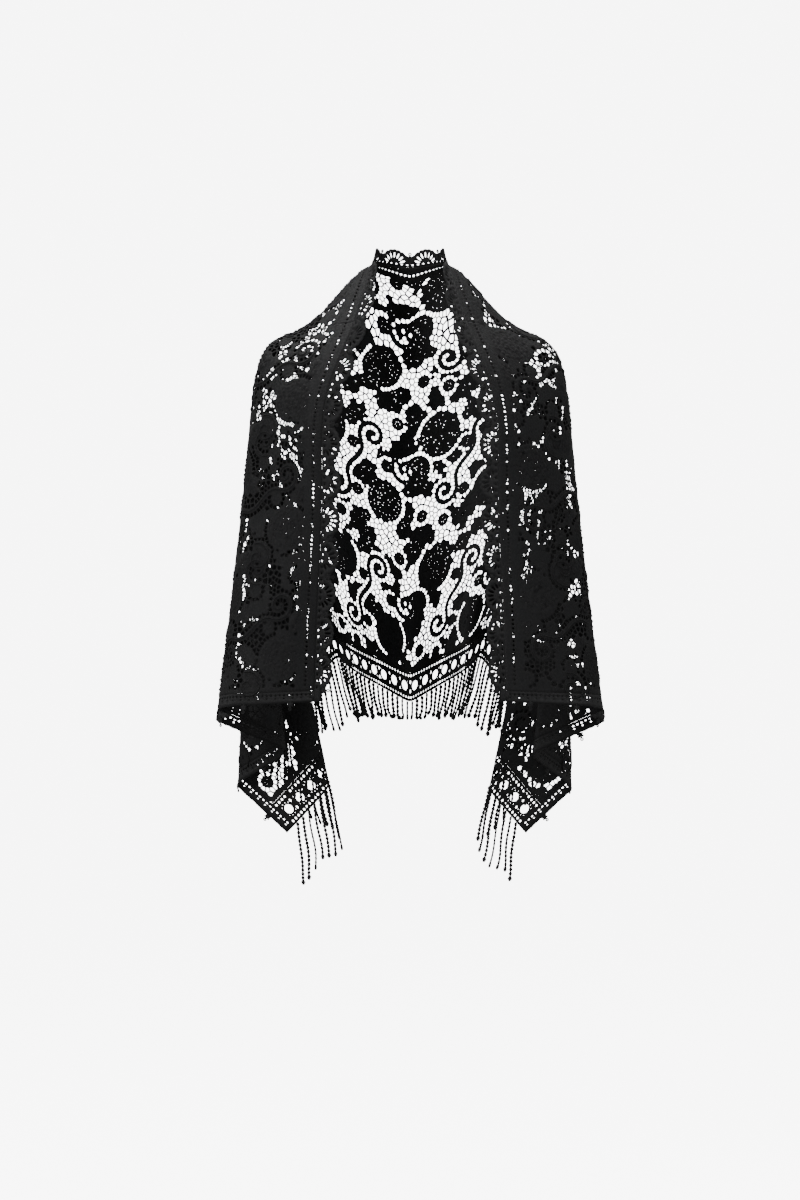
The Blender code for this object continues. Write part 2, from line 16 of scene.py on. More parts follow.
import bpy
import numpy as np
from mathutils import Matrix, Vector
from mathutils.geometry import delaunay_2d_cdt

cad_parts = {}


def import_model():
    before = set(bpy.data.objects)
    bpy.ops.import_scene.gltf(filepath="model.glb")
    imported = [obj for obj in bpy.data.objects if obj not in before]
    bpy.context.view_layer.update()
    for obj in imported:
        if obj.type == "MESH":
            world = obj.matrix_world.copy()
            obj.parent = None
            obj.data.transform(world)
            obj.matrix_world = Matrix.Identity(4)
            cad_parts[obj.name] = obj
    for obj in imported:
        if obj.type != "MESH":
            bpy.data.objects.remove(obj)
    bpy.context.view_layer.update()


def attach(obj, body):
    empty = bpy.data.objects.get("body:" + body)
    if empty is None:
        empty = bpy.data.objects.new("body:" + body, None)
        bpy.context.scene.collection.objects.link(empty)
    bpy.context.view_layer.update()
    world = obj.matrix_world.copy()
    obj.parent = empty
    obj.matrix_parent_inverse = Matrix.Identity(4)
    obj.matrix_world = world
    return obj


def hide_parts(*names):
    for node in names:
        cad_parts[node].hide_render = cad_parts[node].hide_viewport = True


LOG = logging.getLogger("shawl")
BODY = "root"

# Flat cloth
HALF_LENGTH = 0.778
WIDTH = 0.655
HEADER_HEIGHT = 0.044
BORDER_WIDTH = 0.018
FIELD_WIDTH = WIDTH - HEADER_HEIGHT
FIELD_END = HALF_LENGTH - BORDER_WIDTH
BACK_COLUMNS = 16
FRONT_COLUMNS = 20

# Where the cloth leaves the shoulder: its place on the flat cloth and as worn
TIP_ALONG, TIP_ACROSS = 0.205, 0.128
TIP = np.array((0.190, 0.0, -0.107))

# Seam of the scalloped edge, from the nape round the neck and down the front to the hem
EDGE_PATH = (
    # x, y, z
    (0.000, 0.066, -0.004),
    (0.030, 0.056, -0.001),
    (0.052, 0.028, -0.002),
    (0.058, -0.002, -0.012),
    (0.066, -0.034, -0.045),
    (0.084, -0.064, -0.100),
    (0.104, -0.088, -0.150),
    (0.122, -0.102, -0.200),
    (0.129, -0.110, -0.255),
    (0.129, -0.113, -0.330),
    (0.131, -0.113, -0.420),
    (0.136, -0.114, -0.520),
    (0.139, -0.116, -0.620),
    (0.140, -0.118, -0.651),
)

# Middle of the back, from the nape to the fringed hem
BACK_PATH = (
    # y, z
    (0.066, -0.004),
    (0.078, -0.045),
    (0.092, -0.110),
    (0.102, -0.190),
    (0.103, -0.290),
    (0.098, -0.390),
    (0.099, -0.490),
    (0.104, -0.590),
    (0.106, -0.680),
)

# Way that the scalloped edge stands from its seam, by place along the seam
EDGING_LEAN = (
    # along, x, y, z
    (0.00, 0.00, -0.15, 0.99),
    (0.10, -0.30, 0.00, 0.95),
    (0.16, -0.80, 0.05, 0.60),
    (0.26, -1.00, 0.10, 0.15),
    (0.78, -1.00, 0.00, 0.00),
)

# Folds that spread from the shoulder's tip, where each crosses a section FOLD_REACH below it
FOLD_REACH = 0.56
FOLDS = {
    -1: (
        # x, y
        (0.258, -0.106),
        (0.281, -0.065),
        (0.260, -0.026),
        (0.284, 0.016),
        (0.190, 0.040),
        (0.256, 0.130),
        (0.144, 0.094),
        (0.232, 0.168),
        (0.170, 0.140),
        (0.158, 0.198),
        (0.130, 0.132),
        (0.104, 0.184),
        (0.097, 0.166),
    ),
    1: (
        # x, y
        (0.258, -0.106),
        (0.282, -0.063),
        (0.262, -0.024),
        (0.284, 0.018),
        (0.190, 0.042),
        (0.244, 0.128),
        (0.144, 0.094),
        (0.226, 0.166),
        (0.165, 0.138),
        (0.152, 0.196),
        (0.124, 0.130),
        (0.100, 0.182),
        (0.094, 0.166),
    ),
}
FOLD_GROWTH = 1.25
ARM_ROUND = 0.042
ARM_ROUND_REACH = 0.05
ARM_TURN_FRONT, ARM_TURN_BACK = 50.0, 165.0
FOLD_SAMPLES = 24

# Soft forms of the flat stretches
SHOULDER_RISE = np.array((0.009, 0.015, 0.036))
FRONT_CROWN = 0.014
BACK_FOLDS = (
    # share of the way out from the middle, sideways, backwards, at the hem
    (0.00, 0.000, 0.000),
    (0.375, 0.006, 0.036),
    (0.75, 0.006, -0.034),
    (1.00, 0.000, 0.000),
)


class Stretch(Enum):
    """The stretches of the shawl that show: a name, its side, and where it starts and ends."""

    LEFT = ("left", -1, -HALF_LENGTH, -TIP_ALONG)
    BACK = ("back", 1, -TIP_ALONG, TIP_ALONG)
    RIGHT = ("right", 1, TIP_ALONG, HALF_LENGTH)

    @property
    def place(self) -> str:
        """The word that the stretch's pieces have in their names."""
        return self.value[0]

    @property
    def side(self) -> int:
        """Minus one on the side of -X."""
        return self.value[1]

    @property
    def span(self) -> tuple[float, float]:
        """Where the stretch starts and ends along the cloth."""
        return self.value[2], self.value[3]

    @property
    def field_span(self) -> tuple[float, float]:
        """Where its part of the lace field starts and ends."""
        low, high = self.span
        return max(low, -FIELD_END), min(high, FIELD_END)


class Cell(Enum):
    """What stands at one place of the lace."""

    OPEN = "open"
    DENSE = "dense"
    MOTIF = "motif"
    OUTSIDE = "outside"


def smooth_curve(keys: Sequence[float], values: np.ndarray, at: np.ndarray) -> np.ndarray:
    """Reads a smooth curve through rows of values.

    Args:
        keys: Where each row stands.
        values: The rows.
        at: Where to read.

    Returns:
        One row for each place that is read.
    """
    keys = np.asarray(keys, float)
    values = np.asarray(values, float)
    slopes = np.gradient(values, keys, axis=0)
    at = np.asarray(at, float)
    row = np.clip(np.searchsorted(keys, at) - 1, 0, len(keys) - 2)
    span = keys[row + 1] - keys[row]
    part = ((at - keys[row]) / span)[..., None]
    span = span[..., None]
    return (
        values[row] * (1 + 2 * part) * (1 - part) ** 2
        + slopes[row] * span * part * (1 - part) ** 2
        + values[row + 1] * part**2 * (3 - 2 * part)
        - slopes[row + 1] * span * part**2 * (1 - part)
    )


def path_by_length(path: Sequence[Sequence[float]], at: np.ndarray) -> np.ndarray:
    """Places on a smooth path, read by the length walked from its first point.

    Args:
        path: The path's points.
        at: Lengths along it.

    Returns:
        One place for each length.
    """
    path = np.asarray(path, float)
    rows = np.arange(len(path))
    fine = np.linspace(0, len(path) - 1, 400)
    points = smooth_curve(rows, path, fine)
    walked = np.concatenate([[0], np.cumsum(np.linalg.norm(np.diff(points, axis=0), axis=1))])
    return np.stack([np.interp(at, walked, points[:, i]) for i in range(path.shape[1])], axis=-1)


class Drape:
    """The worn shape: a fine net of places, read anywhere on the flat cloth."""

    STEP = 0.0095
    MARGIN = 0.11
    SMOOTHING = 3
    NORMAL_STEP = 0.004

    def __init__(self) -> None:
        """Works out the net."""
        columns = round((HALF_LENGTH + self.MARGIN) / self.STEP)
        self.along = np.arange(-columns, columns + 1) * self.STEP
        self.across = np.arange(round((WIDTH + 2 * self.MARGIN) / self.STEP) + 1) * self.STEP
        self.across -= self.MARGIN
        along, across = np.meshgrid(self.along, self.across, indexing="ij")
        net = np.zeros((*along.shape, 3))
        for side in FOLDS:
            half = along * side >= 0
            net[half] = self.half_places(np.abs(along[half]), across[half], side) * (side, 1, 1)
        for _ in range(self.SMOOTHING):
            around = net[:-2, 1:-1] + net[2:, 1:-1] + net[1:-1, :-2] + net[1:-1, 2:]
            net[1:-1, 1:-1] = net[1:-1, 1:-1] * 0.5 + around * 0.125
        self.net = net

    @staticmethod
    def fold_ray(reach: np.ndarray, turn: np.ndarray, side: int) -> np.ndarray:
        """Places down from the shoulder's tip.

        Args:
            reach: How far along the cloth.
            turn: The direction on the flat cloth, in degrees.
            side: Minus one or one.

        Returns:
            Worn places.
        """
        rows = np.array(FOLDS[side])
        fine = np.linspace(0, len(rows) - 1, FOLD_SAMPLES * (len(rows) - 1) + 1)
        points = smooth_curve(np.arange(len(rows)), rows, fine)
        lengths = np.linalg.norm(np.diff(points, axis=0), axis=1)
        walked = np.concatenate([[0], np.cumsum(lengths)])
        turns = 90 * walked / walked[-1]
        node = np.stack([np.interp(turn, turns, points[:, i]) for i in (0, 1)], axis=-1)
        facing = np.radians(ARM_TURN_FRONT + (ARM_TURN_BACK - ARM_TURN_FRONT) * turn / 90)
        outward = np.stack([np.sin(facing), -np.cos(facing)], axis=-1)
        steps = np.linspace(0, 1, 60)[:, None, None] * reach[None, :, None]
        growth = (steps / FOLD_REACH) ** FOLD_GROWTH
        rounding = ARM_ROUND * np.tanh(steps / ARM_ROUND_REACH)
        plan = TIP[:2] + rounding * outward + growth * (node - ARM_ROUND * outward - TIP[:2])
        sideways = np.linalg.norm(np.diff(plan, axis=0), axis=2)
        drop = np.sqrt(np.maximum(np.diff(steps[:, :, 0], axis=0) ** 2 - sideways**2, 0)).sum(axis=0)
        return np.column_stack([plan[-1], TIP[2] - drop])

    @classmethod
    def front_place(cls, along: np.ndarray, across: np.ndarray, side: int) -> np.ndarray:
        """The flat front panel, between the front edge and the fold below the shoulder's tip."""
        share = across / TIP_ACROSS
        edge = path_by_length(EDGE_PATH, along)
        outer = cls.fold_ray(along - TIP_ALONG, np.zeros_like(along), side)
        crown = FRONT_CROWN * 4 * share * (1 - share) * np.tanh((along - TIP_ALONG) / 0.2)
        place = edge * (1 - share)[:, None] + outer * share[:, None]
        place[:, 1] -= crown
        return place

    @staticmethod
    def middle_back(across: np.ndarray) -> np.ndarray:
        """The middle of the back, by length from the nape."""
        place = path_by_length(BACK_PATH, across)
        return np.column_stack([np.zeros(len(across)), place])

    @classmethod
    def back_place(cls, along: np.ndarray, across: np.ndarray, side: int) -> np.ndarray:
        """The back, between its middle and the fold below the shoulder's tip."""
        share = along / TIP_ALONG
        outer = cls.fold_ray(across - TIP_ACROSS, np.full_like(across, 90.0), side)
        place = cls.middle_back(across) * (1 - share)[:, None] + outer * share[:, None]
        folds = np.array(BACK_FOLDS)
        growth = ((across - TIP_ACROSS) / (WIDTH - TIP_ACROSS)) ** FOLD_GROWTH
        place[:, :2] += growth[:, None] * smooth_curve(folds[:, 0], folds[:, 1:], share)
        return place

    @classmethod
    def shoulder_place(cls, along: np.ndarray, across: np.ndarray, side: int) -> np.ndarray:
        """The cloth on the shoulder, spanned between the edges of the stretches round it."""
        share, down = along / TIP_ALONG, across / TIP_ACROSS
        tips = np.full_like(along, TIP_ALONG), np.full_like(across, TIP_ACROSS)
        neck = path_by_length(EDGE_PATH, along)
        blade = cls.back_place(along, tips[1], side)
        middle = cls.middle_back(across)
        front = cls.front_place(tips[0], across, side)
        corners = (
            ((1 - share) * (1 - down))[:, None] * path_by_length(EDGE_PATH, 0 * along)
            + (share * (1 - down))[:, None] * path_by_length(EDGE_PATH, tips[0])
            + ((1 - share) * down)[:, None] * cls.middle_back(tips[1])
            + (share * down)[:, None] * TIP
        )
        dome = 16 * share * (1 - share) * down * (1 - down)
        return (
            neck * (1 - down)[:, None]
            + blade * down[:, None]
            + middle * (1 - share)[:, None]
            + front * share[:, None]
            - corners
            + dome[:, None] * SHOULDER_RISE
        )

    @classmethod
    def half_places(cls, along: np.ndarray, across: np.ndarray, side: int) -> np.ndarray:
        """Places on one half of the shawl, before smoothing. along is positive on both halves."""
        places = np.zeros((len(along), 3))
        on_cloth = np.maximum(across, 0)
        past_tip, below_tip = along > TIP_ALONG, on_cloth > TIP_ACROSS
        for stretch, place in (
            (~past_tip & ~below_tip, cls.shoulder_place),
            (past_tip & ~below_tip, cls.front_place),
            (~past_tip & below_tip, cls.back_place),
        ):
            places[stretch] = place(along[stretch], on_cloth[stretch], side)
        folds = past_tip & below_tip
        ahead, over = along[folds] - TIP_ALONG, across[folds] - TIP_ACROSS
        turn = np.degrees(np.arctan2(over, ahead))
        places[folds] = cls.fold_ray(np.hypot(ahead, over), turn, side)
        lean = np.array(EDGING_LEAN)
        stand = smooth_curve(lean[:, 0], lean[:, 1:], along)
        return places - np.minimum(across, 0)[:, None] * stand

    def place(self, flat: np.ndarray) -> np.ndarray:
        """Places on the worn shawl.

        Args:
            flat: Rows of (along, across).

        Returns:
            Rows of x, y, z.
        """
        flat = np.asarray(flat, float)
        columns, column_weights = self.weights(flat[:, 0], self.along)
        rows, row_weights = self.weights(flat[:, 1], self.across)
        near = self.net[columns[:, :, None], rows[:, None, :]]
        return np.einsum("ni,nj,nijk->nk", column_weights, row_weights, near)

    @staticmethod
    def weights(at: np.ndarray, lines: np.ndarray) -> tuple[np.ndarray, np.ndarray]:
        """The four net lines round each value, and their shares in a smooth curve."""
        step = lines[1] - lines[0]
        first = np.clip(np.floor((at - lines[0]) / step).astype(int), 1, len(lines) - 3)
        part = (at - lines[first]) / step
        shares = np.stack(
            [
                -0.5 * part**3 + part**2 - 0.5 * part,
                1.5 * part**3 - 2.5 * part**2 + 1,
                -1.5 * part**3 + 2 * part**2 + 0.5 * part,
                0.5 * part**3 - 0.5 * part**2,
            ],
            axis=1,
        )
        return first[:, None] + np.arange(-1, 3), shares

    def outward(self, flat: np.ndarray) -> np.ndarray:
        """The way out of the cloth, away from the wearer.

        Args:
            flat: Rows of (along, across).

        Returns:
            Unit directions.
        """
        flat = np.asarray(flat, float)
        step = self.NORMAL_STEP
        along = self.place(flat + (step, 0)) - self.place(flat - (step, 0))
        across = self.place(flat + (0, step)) - self.place(flat - (0, step))
        normal = np.cross(along, across)
        return normal / np.linalg.norm(normal, axis=1, keepdims=True)

    def raised(self, flat: np.ndarray, height: np.ndarray) -> np.ndarray:
        """Worn places that stand off the middle of the cloth by a height."""
        return self.place(flat) + self.outward(flat) * np.asarray(height)[:, None]


# Finishes
class Value:
    """A shader socket that Python arithmetic can be written with."""

    def __init__(self, shader: "Shader", socket: Any) -> None:
        """Wraps a socket of a shader."""
        self.shader, self.socket = shader, socket

    def _math(self, operation: str, *values: Any) -> "Value":
        """Adds one Math node.

        Args:
            operation: The node's operation.
            values: Its inputs: wrapped sockets or numbers.

        Returns:
            The wrapped result.
        """
        found = self.shader.node("ShaderNodeMath", {"operation": operation}, dict(enumerate(values)))
        return Value(self.shader, found.outputs[0])

    def __add__(self, other: Any) -> "Value":
        """Sum."""
        return self._math("ADD", self, other)

    def __radd__(self, other: Any) -> "Value":
        """Sum, reflected."""
        return self._math("ADD", other, self)

    def __sub__(self, other: Any) -> "Value":
        """Difference."""
        return self._math("SUBTRACT", self, other)

    def __rsub__(self, other: Any) -> "Value":
        """Difference, reflected."""
        return self._math("SUBTRACT", other, self)

    def __mul__(self, other: Any) -> "Value":
        """Product."""
        return self._math("MULTIPLY", self, other)

    def __rmul__(self, other: Any) -> "Value":
        """Product, reflected."""
        return self._math("MULTIPLY", other, self)

    def sine(self) -> "Value":
        """Sine of the value."""
        return self._math("SINE", self)

    def absolute(self) -> "Value":
        """The value without its sign."""
        return self._math("ABSOLUTE", self)


class Shader:
    """One node material and the method that adds its nodes."""

    def __init__(self, name: str) -> None:
        """Starts an empty material."""
        self.material = bpy.data.materials.new(name)
        self.material.use_nodes = True
        self.tree = self.material.node_tree
        self.tree.nodes.clear()

    def node(self, kind: str, settings: dict[str, Any], values: dict[Any, Any]) -> Any:
        """Adds a node.

        Args:
            kind: The node's type.
            settings: Its settings, set first. The stops of a ramp are pairs of place and grey.
            values: What its sockets hold or are linked to, by name or number.

        Returns:
            The node.
        """
        made = self.tree.nodes.new(kind)
        for key, setting in settings.items():
            if key == "stops":
                ramp = made.color_ramp.elements
                for element, (at, grey) in zip(ramp, setting):
                    element.position = at
                    element.color = (grey, grey, grey, 1)
            else:
                setattr(made, key, setting)
        for key, value in values.items():
            if isinstance(value, Value):
                self.tree.links.new(value.socket, made.inputs[key])
            else:
                made.inputs[key].default_value = value
        return made

    def value(self, node: Any, output: Any = 0) -> Value:
        """Wraps one output of a node."""
        return Value(self, node.outputs[output])


@dataclass(frozen=True)
class ThreadFinish:
    """Black thread: how dark it is, how it shines and how its stitches lie."""

    name: str
    slot: str
    # dark and light are the two ends of the colour mix: random tone, and painted shade in the stitch grooves
    # against the lit stitch ridges.
    dark: tuple[float, float, float]
    light: tuple[float, float, float]
    roughness: float
    stitch: float
    turn: float
    depth: float
    sheen: float

    def material(self) -> Any:
        """Builds the finish.

        Returns:
            The Blender material.
        """
        shader = Shader(self.name)
        flat = shader.value(shader.node("ShaderNodeUVMap", {"uv_map": "flat"}, {}))
        metres = shader.value(shader.node("ShaderNodeTexCoord", {}, {}), "Object")
        wander = shader.node(
            "ShaderNodeTexNoise", {}, {"Vector": metres, "Scale": 60.0, "Detail": 2.0}
        )
        turned = shader.node(
            "ShaderNodeMapping", {}, {"Vector": flat, "Rotation": (0, 0, math.radians(self.turn))}
        )
        parts = shader.node("ShaderNodeSeparateXYZ", {}, {"Vector": shader.value(turned)})
        bend = shader.value(wander, "Fac")
        across = shader.value(parts, "X") * (math.tau / self.stitch)
        stitches = (across + bend * 9.0).sine().absolute()
        fuzz = shader.value(
            shader.node("ShaderNodeTexNoise", {}, {"Vector": metres, "Scale": 900.0, "Detail": 3.0}),
            "Fac",
        )
        height = stitches * 0.7 + fuzz * 0.5
        bump = shader.node(
            "ShaderNodeBump", {}, {"Strength": 0.6, "Distance": self.depth, "Height": height}
        )
        worn = shader.value(
            shader.node("ShaderNodeTexNoise", {}, {"Vector": metres, "Scale": 14.0, "Detail": 4.0}),
            "Fac",
        )
        # Colour: random tone from the worn noise, plus painted shade from the stitch height: darker in the
        # grooves between stitches, lighter on their ridges.
        shade = shader.node(
            "ShaderNodeMix",
            {"data_type": "RGBA"},
            {0: worn * 0.6 + stitches * 0.4, 6: (*self.dark, 1), 7: (*self.light, 1)},
        )
        surface = shader.node(
            "ShaderNodeBsdfPrincipled",
            {},
            {
                "Base Color": shader.value(shade, 2),
                "Roughness": fuzz * 0.2 + (self.roughness - 0.1),
                "Normal": shader.value(bump, "Normal"),
                "Sheen Weight": self.sheen,
                "Sheen Roughness": 0.45,
                "Specular IOR Level": 0.2,
            },
        )
        shader.node("ShaderNodeOutputMaterial", {}, {"Surface": shader.value(surface)})
        return shader.material


LACE = ThreadFinish(
    "lace_thread", "lace", (0.002, 0.002, 0.0022), (0.0085, 0.0085, 0.009), 0.58, 0.0011, 35, 0.0008, 0.0
)
EDGE = ThreadFinish(
    "edge_thread", "edging", (0.0025, 0.0025, 0.0028), (0.0095, 0.0095, 0.01), 0.55, 0.0012, 90, 0.0008, 0.0
)
CORD = ThreadFinish(
    "cord_thread", "cord", (0.003, 0.003, 0.0033), (0.011, 0.011, 0.0115), 0.6, 0.0009, 20, 0.0003, 0.0
)


# Meshes
def rim_edges(triangles: np.ndarray) -> np.ndarray:
    """Directed edges of a flat mesh that only one face has.

    Args:
        triangles: Rows of three point numbers, counter-clockwise.

    Returns:
        Rows of two point numbers.
    """
    edges = np.concatenate([triangles[:, [0, 1]], triangles[:, [1, 2]], triangles[:, [2, 0]]])
    size = int(triangles.max()) + 1
    forward = edges[:, 0].astype(np.int64) * size + edges[:, 1]
    backward = edges[:, 1].astype(np.int64) * size + edges[:, 0]
    return edges[~np.isin(forward, backward)]


@dataclass
class FlatMesh:
    """A flat lace mesh: points, triangles, and how high each point stands on the outer side."""

    flat: np.ndarray
    triangles: np.ndarray
    rise: np.ndarray

    def part(self, kept: np.ndarray) -> "FlatMesh":
        """The mesh of some of its triangles."""
        triangles = self.triangles[kept]
        used, index = np.unique(triangles, return_inverse=True)
        return FlatMesh(self.flat[used], index.reshape(-1, 3), self.rise[used])


def mesh_piece(
    name: str, points: np.ndarray, faces: np.ndarray, uvs: np.ndarray, finish: Any
) -> Any:
    """Makes one shaded mesh object.

    Args:
        name: The piece's name.
        points: Its points.
        faces: Its triangles.
        uvs: The flat place of each point.
        finish: Its material.

    Returns:
        The object.
    """
    mesh = bpy.data.meshes.new(name)
    mesh.vertices.add(len(points))
    mesh.vertices.foreach_set("co", points.astype(np.float32).ravel())
    mesh.loops.add(3 * len(faces))
    mesh.loops.foreach_set("vertex_index", faces.astype(np.int32).ravel())
    mesh.polygons.add(len(faces))
    mesh.polygons.foreach_set("loop_start", np.arange(0, 3 * len(faces), 3, dtype=np.int32))
    mesh.update(calc_edges=True)
    mesh.validate()
    mesh.polygons.foreach_set("use_smooth", np.ones(len(mesh.polygons), bool))
    layer = mesh.uv_layers.new(name="flat")
    corners = np.empty(len(mesh.loops), np.int32)
    mesh.loops.foreach_get("vertex_index", corners)
    layer.data.foreach_set("uv", uvs[corners].astype(np.float32).ravel())
    mesh.materials.append(finish)
    piece = bpy.data.objects.new(name, mesh)
    bpy.context.scene.collection.objects.link(piece)
    return piece


def worn_wall(name: str, drape: Drape, sheet: FlatMesh, thickness: float, finish: Any) -> Any:
    """Lays a flat lace mesh on the worn shape as a closed wall.

    Args:
        name: The piece's name.
        drape: The worn shape.
        sheet: The flat mesh.
        thickness: The wall's thickness where nothing is raised.
        finish: Its material.

    Returns:
        The object.
    """
    count = len(sheet.flat)
    outer = drape.raised(sheet.flat, thickness / 2 + sheet.rise)
    inner = drape.raised(sheet.flat, -thickness / 2 - 0.25 * sheet.rise)
    rims = rim_edges(sheet.triangles)
    a, b = rims[:, 0], rims[:, 1]
    faces = np.concatenate(
        [
            sheet.triangles,
            sheet.triangles[:, ::-1] + count,
            np.column_stack([b, a, a + count]),
            np.column_stack([b, a + count, b + count]),
        ]
    )
    points = np.concatenate([outer, inner])
    return mesh_piece(name, points, faces, np.concatenate([sheet.flat, sheet.flat]), finish)


def inside(points: np.ndarray, loop: np.ndarray) -> np.ndarray:
    """Which points lie inside a flat loop."""
    low, high = loop.min(axis=0), loop.max(axis=0)
    found = np.zeros(len(points), bool)
    near = ((points >= low) & (points <= high)).all(axis=1)
    close = points[near]
    hit = np.zeros(len(close), bool)
    for (x0, y0), (x1, y1) in zip(loop, np.roll(loop, -1, axis=0)):
        crosses = (y0 > close[:, 1]) != (y1 > close[:, 1])
        with np.errstate(divide="ignore", invalid="ignore"):
            reach = x0 + (close[:, 1] - y0) * (x1 - x0) / (y1 - y0)
        hit ^= crosses & (close[:, 0] < reach)
    found[near] = hit
    return found


def cut_sheet(
    outline: np.ndarray, gaps: Sequence[np.ndarray], inner: np.ndarray, rise: Callable
) -> FlatMesh:
    """Triangulates a flat piece with gaps.

    Args:
        outline: The piece's edge.
        gaps: The loops cut out of it.
        inner: More points inside it.
        rise: Gives the height of rows of flat points.

    Returns:
        The flat mesh.
    """
    loops = [np.asarray(loop, float) for loop in (outline, *gaps)]
    edges: list[tuple[int, int]] = []
    first = 0
    for loop in loops:
        count = len(loop)
        edges += [(first + i, first + (i + 1) % count) for i in range(count)]
        first += count
    points = np.concatenate([*loops, np.asarray(inner, float).reshape(-1, 2)])
    flat, _, faces, *_ = delaunay_2d_cdt([Vector(p) for p in points], edges, [], 0, 1e-7)
    flat = np.array([tuple(point) for point in flat])
    triangles = np.array([tuple(face) for face in faces])
    middles = flat[triangles].mean(axis=1)
    kept = inside(middles, loops[0])
    for loop in loops[1:]:
        kept &= ~inside(middles, loop)
    triangles = triangles[kept]
    used, index = np.unique(triangles, return_inverse=True)
    flat, triangles = flat[used], index.reshape(-1, 3)
    one, two = (flat[triangles[:, i]] - flat[triangles[:, 0]] for i in (1, 2))
    turned = one[:, 0] * two[:, 1] < one[:, 1] * two[:, 0]
    triangles[turned] = triangles[turned][:, ::-1]
    return FlatMesh(flat, triangles, rise(flat))


def ellipse(centre: Sequence[float], length: float, width: float, turn: float, sides: int) -> np.ndarray:
    """A flat ellipse's points.

    Args:
        centre: Its middle.
        length: Its long size.
        width: Its short size.
        turn: The long way's angle, in radians.
        sides: How many points.

    Returns:
        Rows of two.
    """
    angles = math.tau * np.arange(sides) / sides
    x, y = np.cos(angles) * length / 2, np.sin(angles) * width / 2
    cos, sin = math.cos(turn), math.sin(turn)
    return np.column_stack([centre[0] + x * cos - y * sin, centre[1] + x * sin + y * cos])


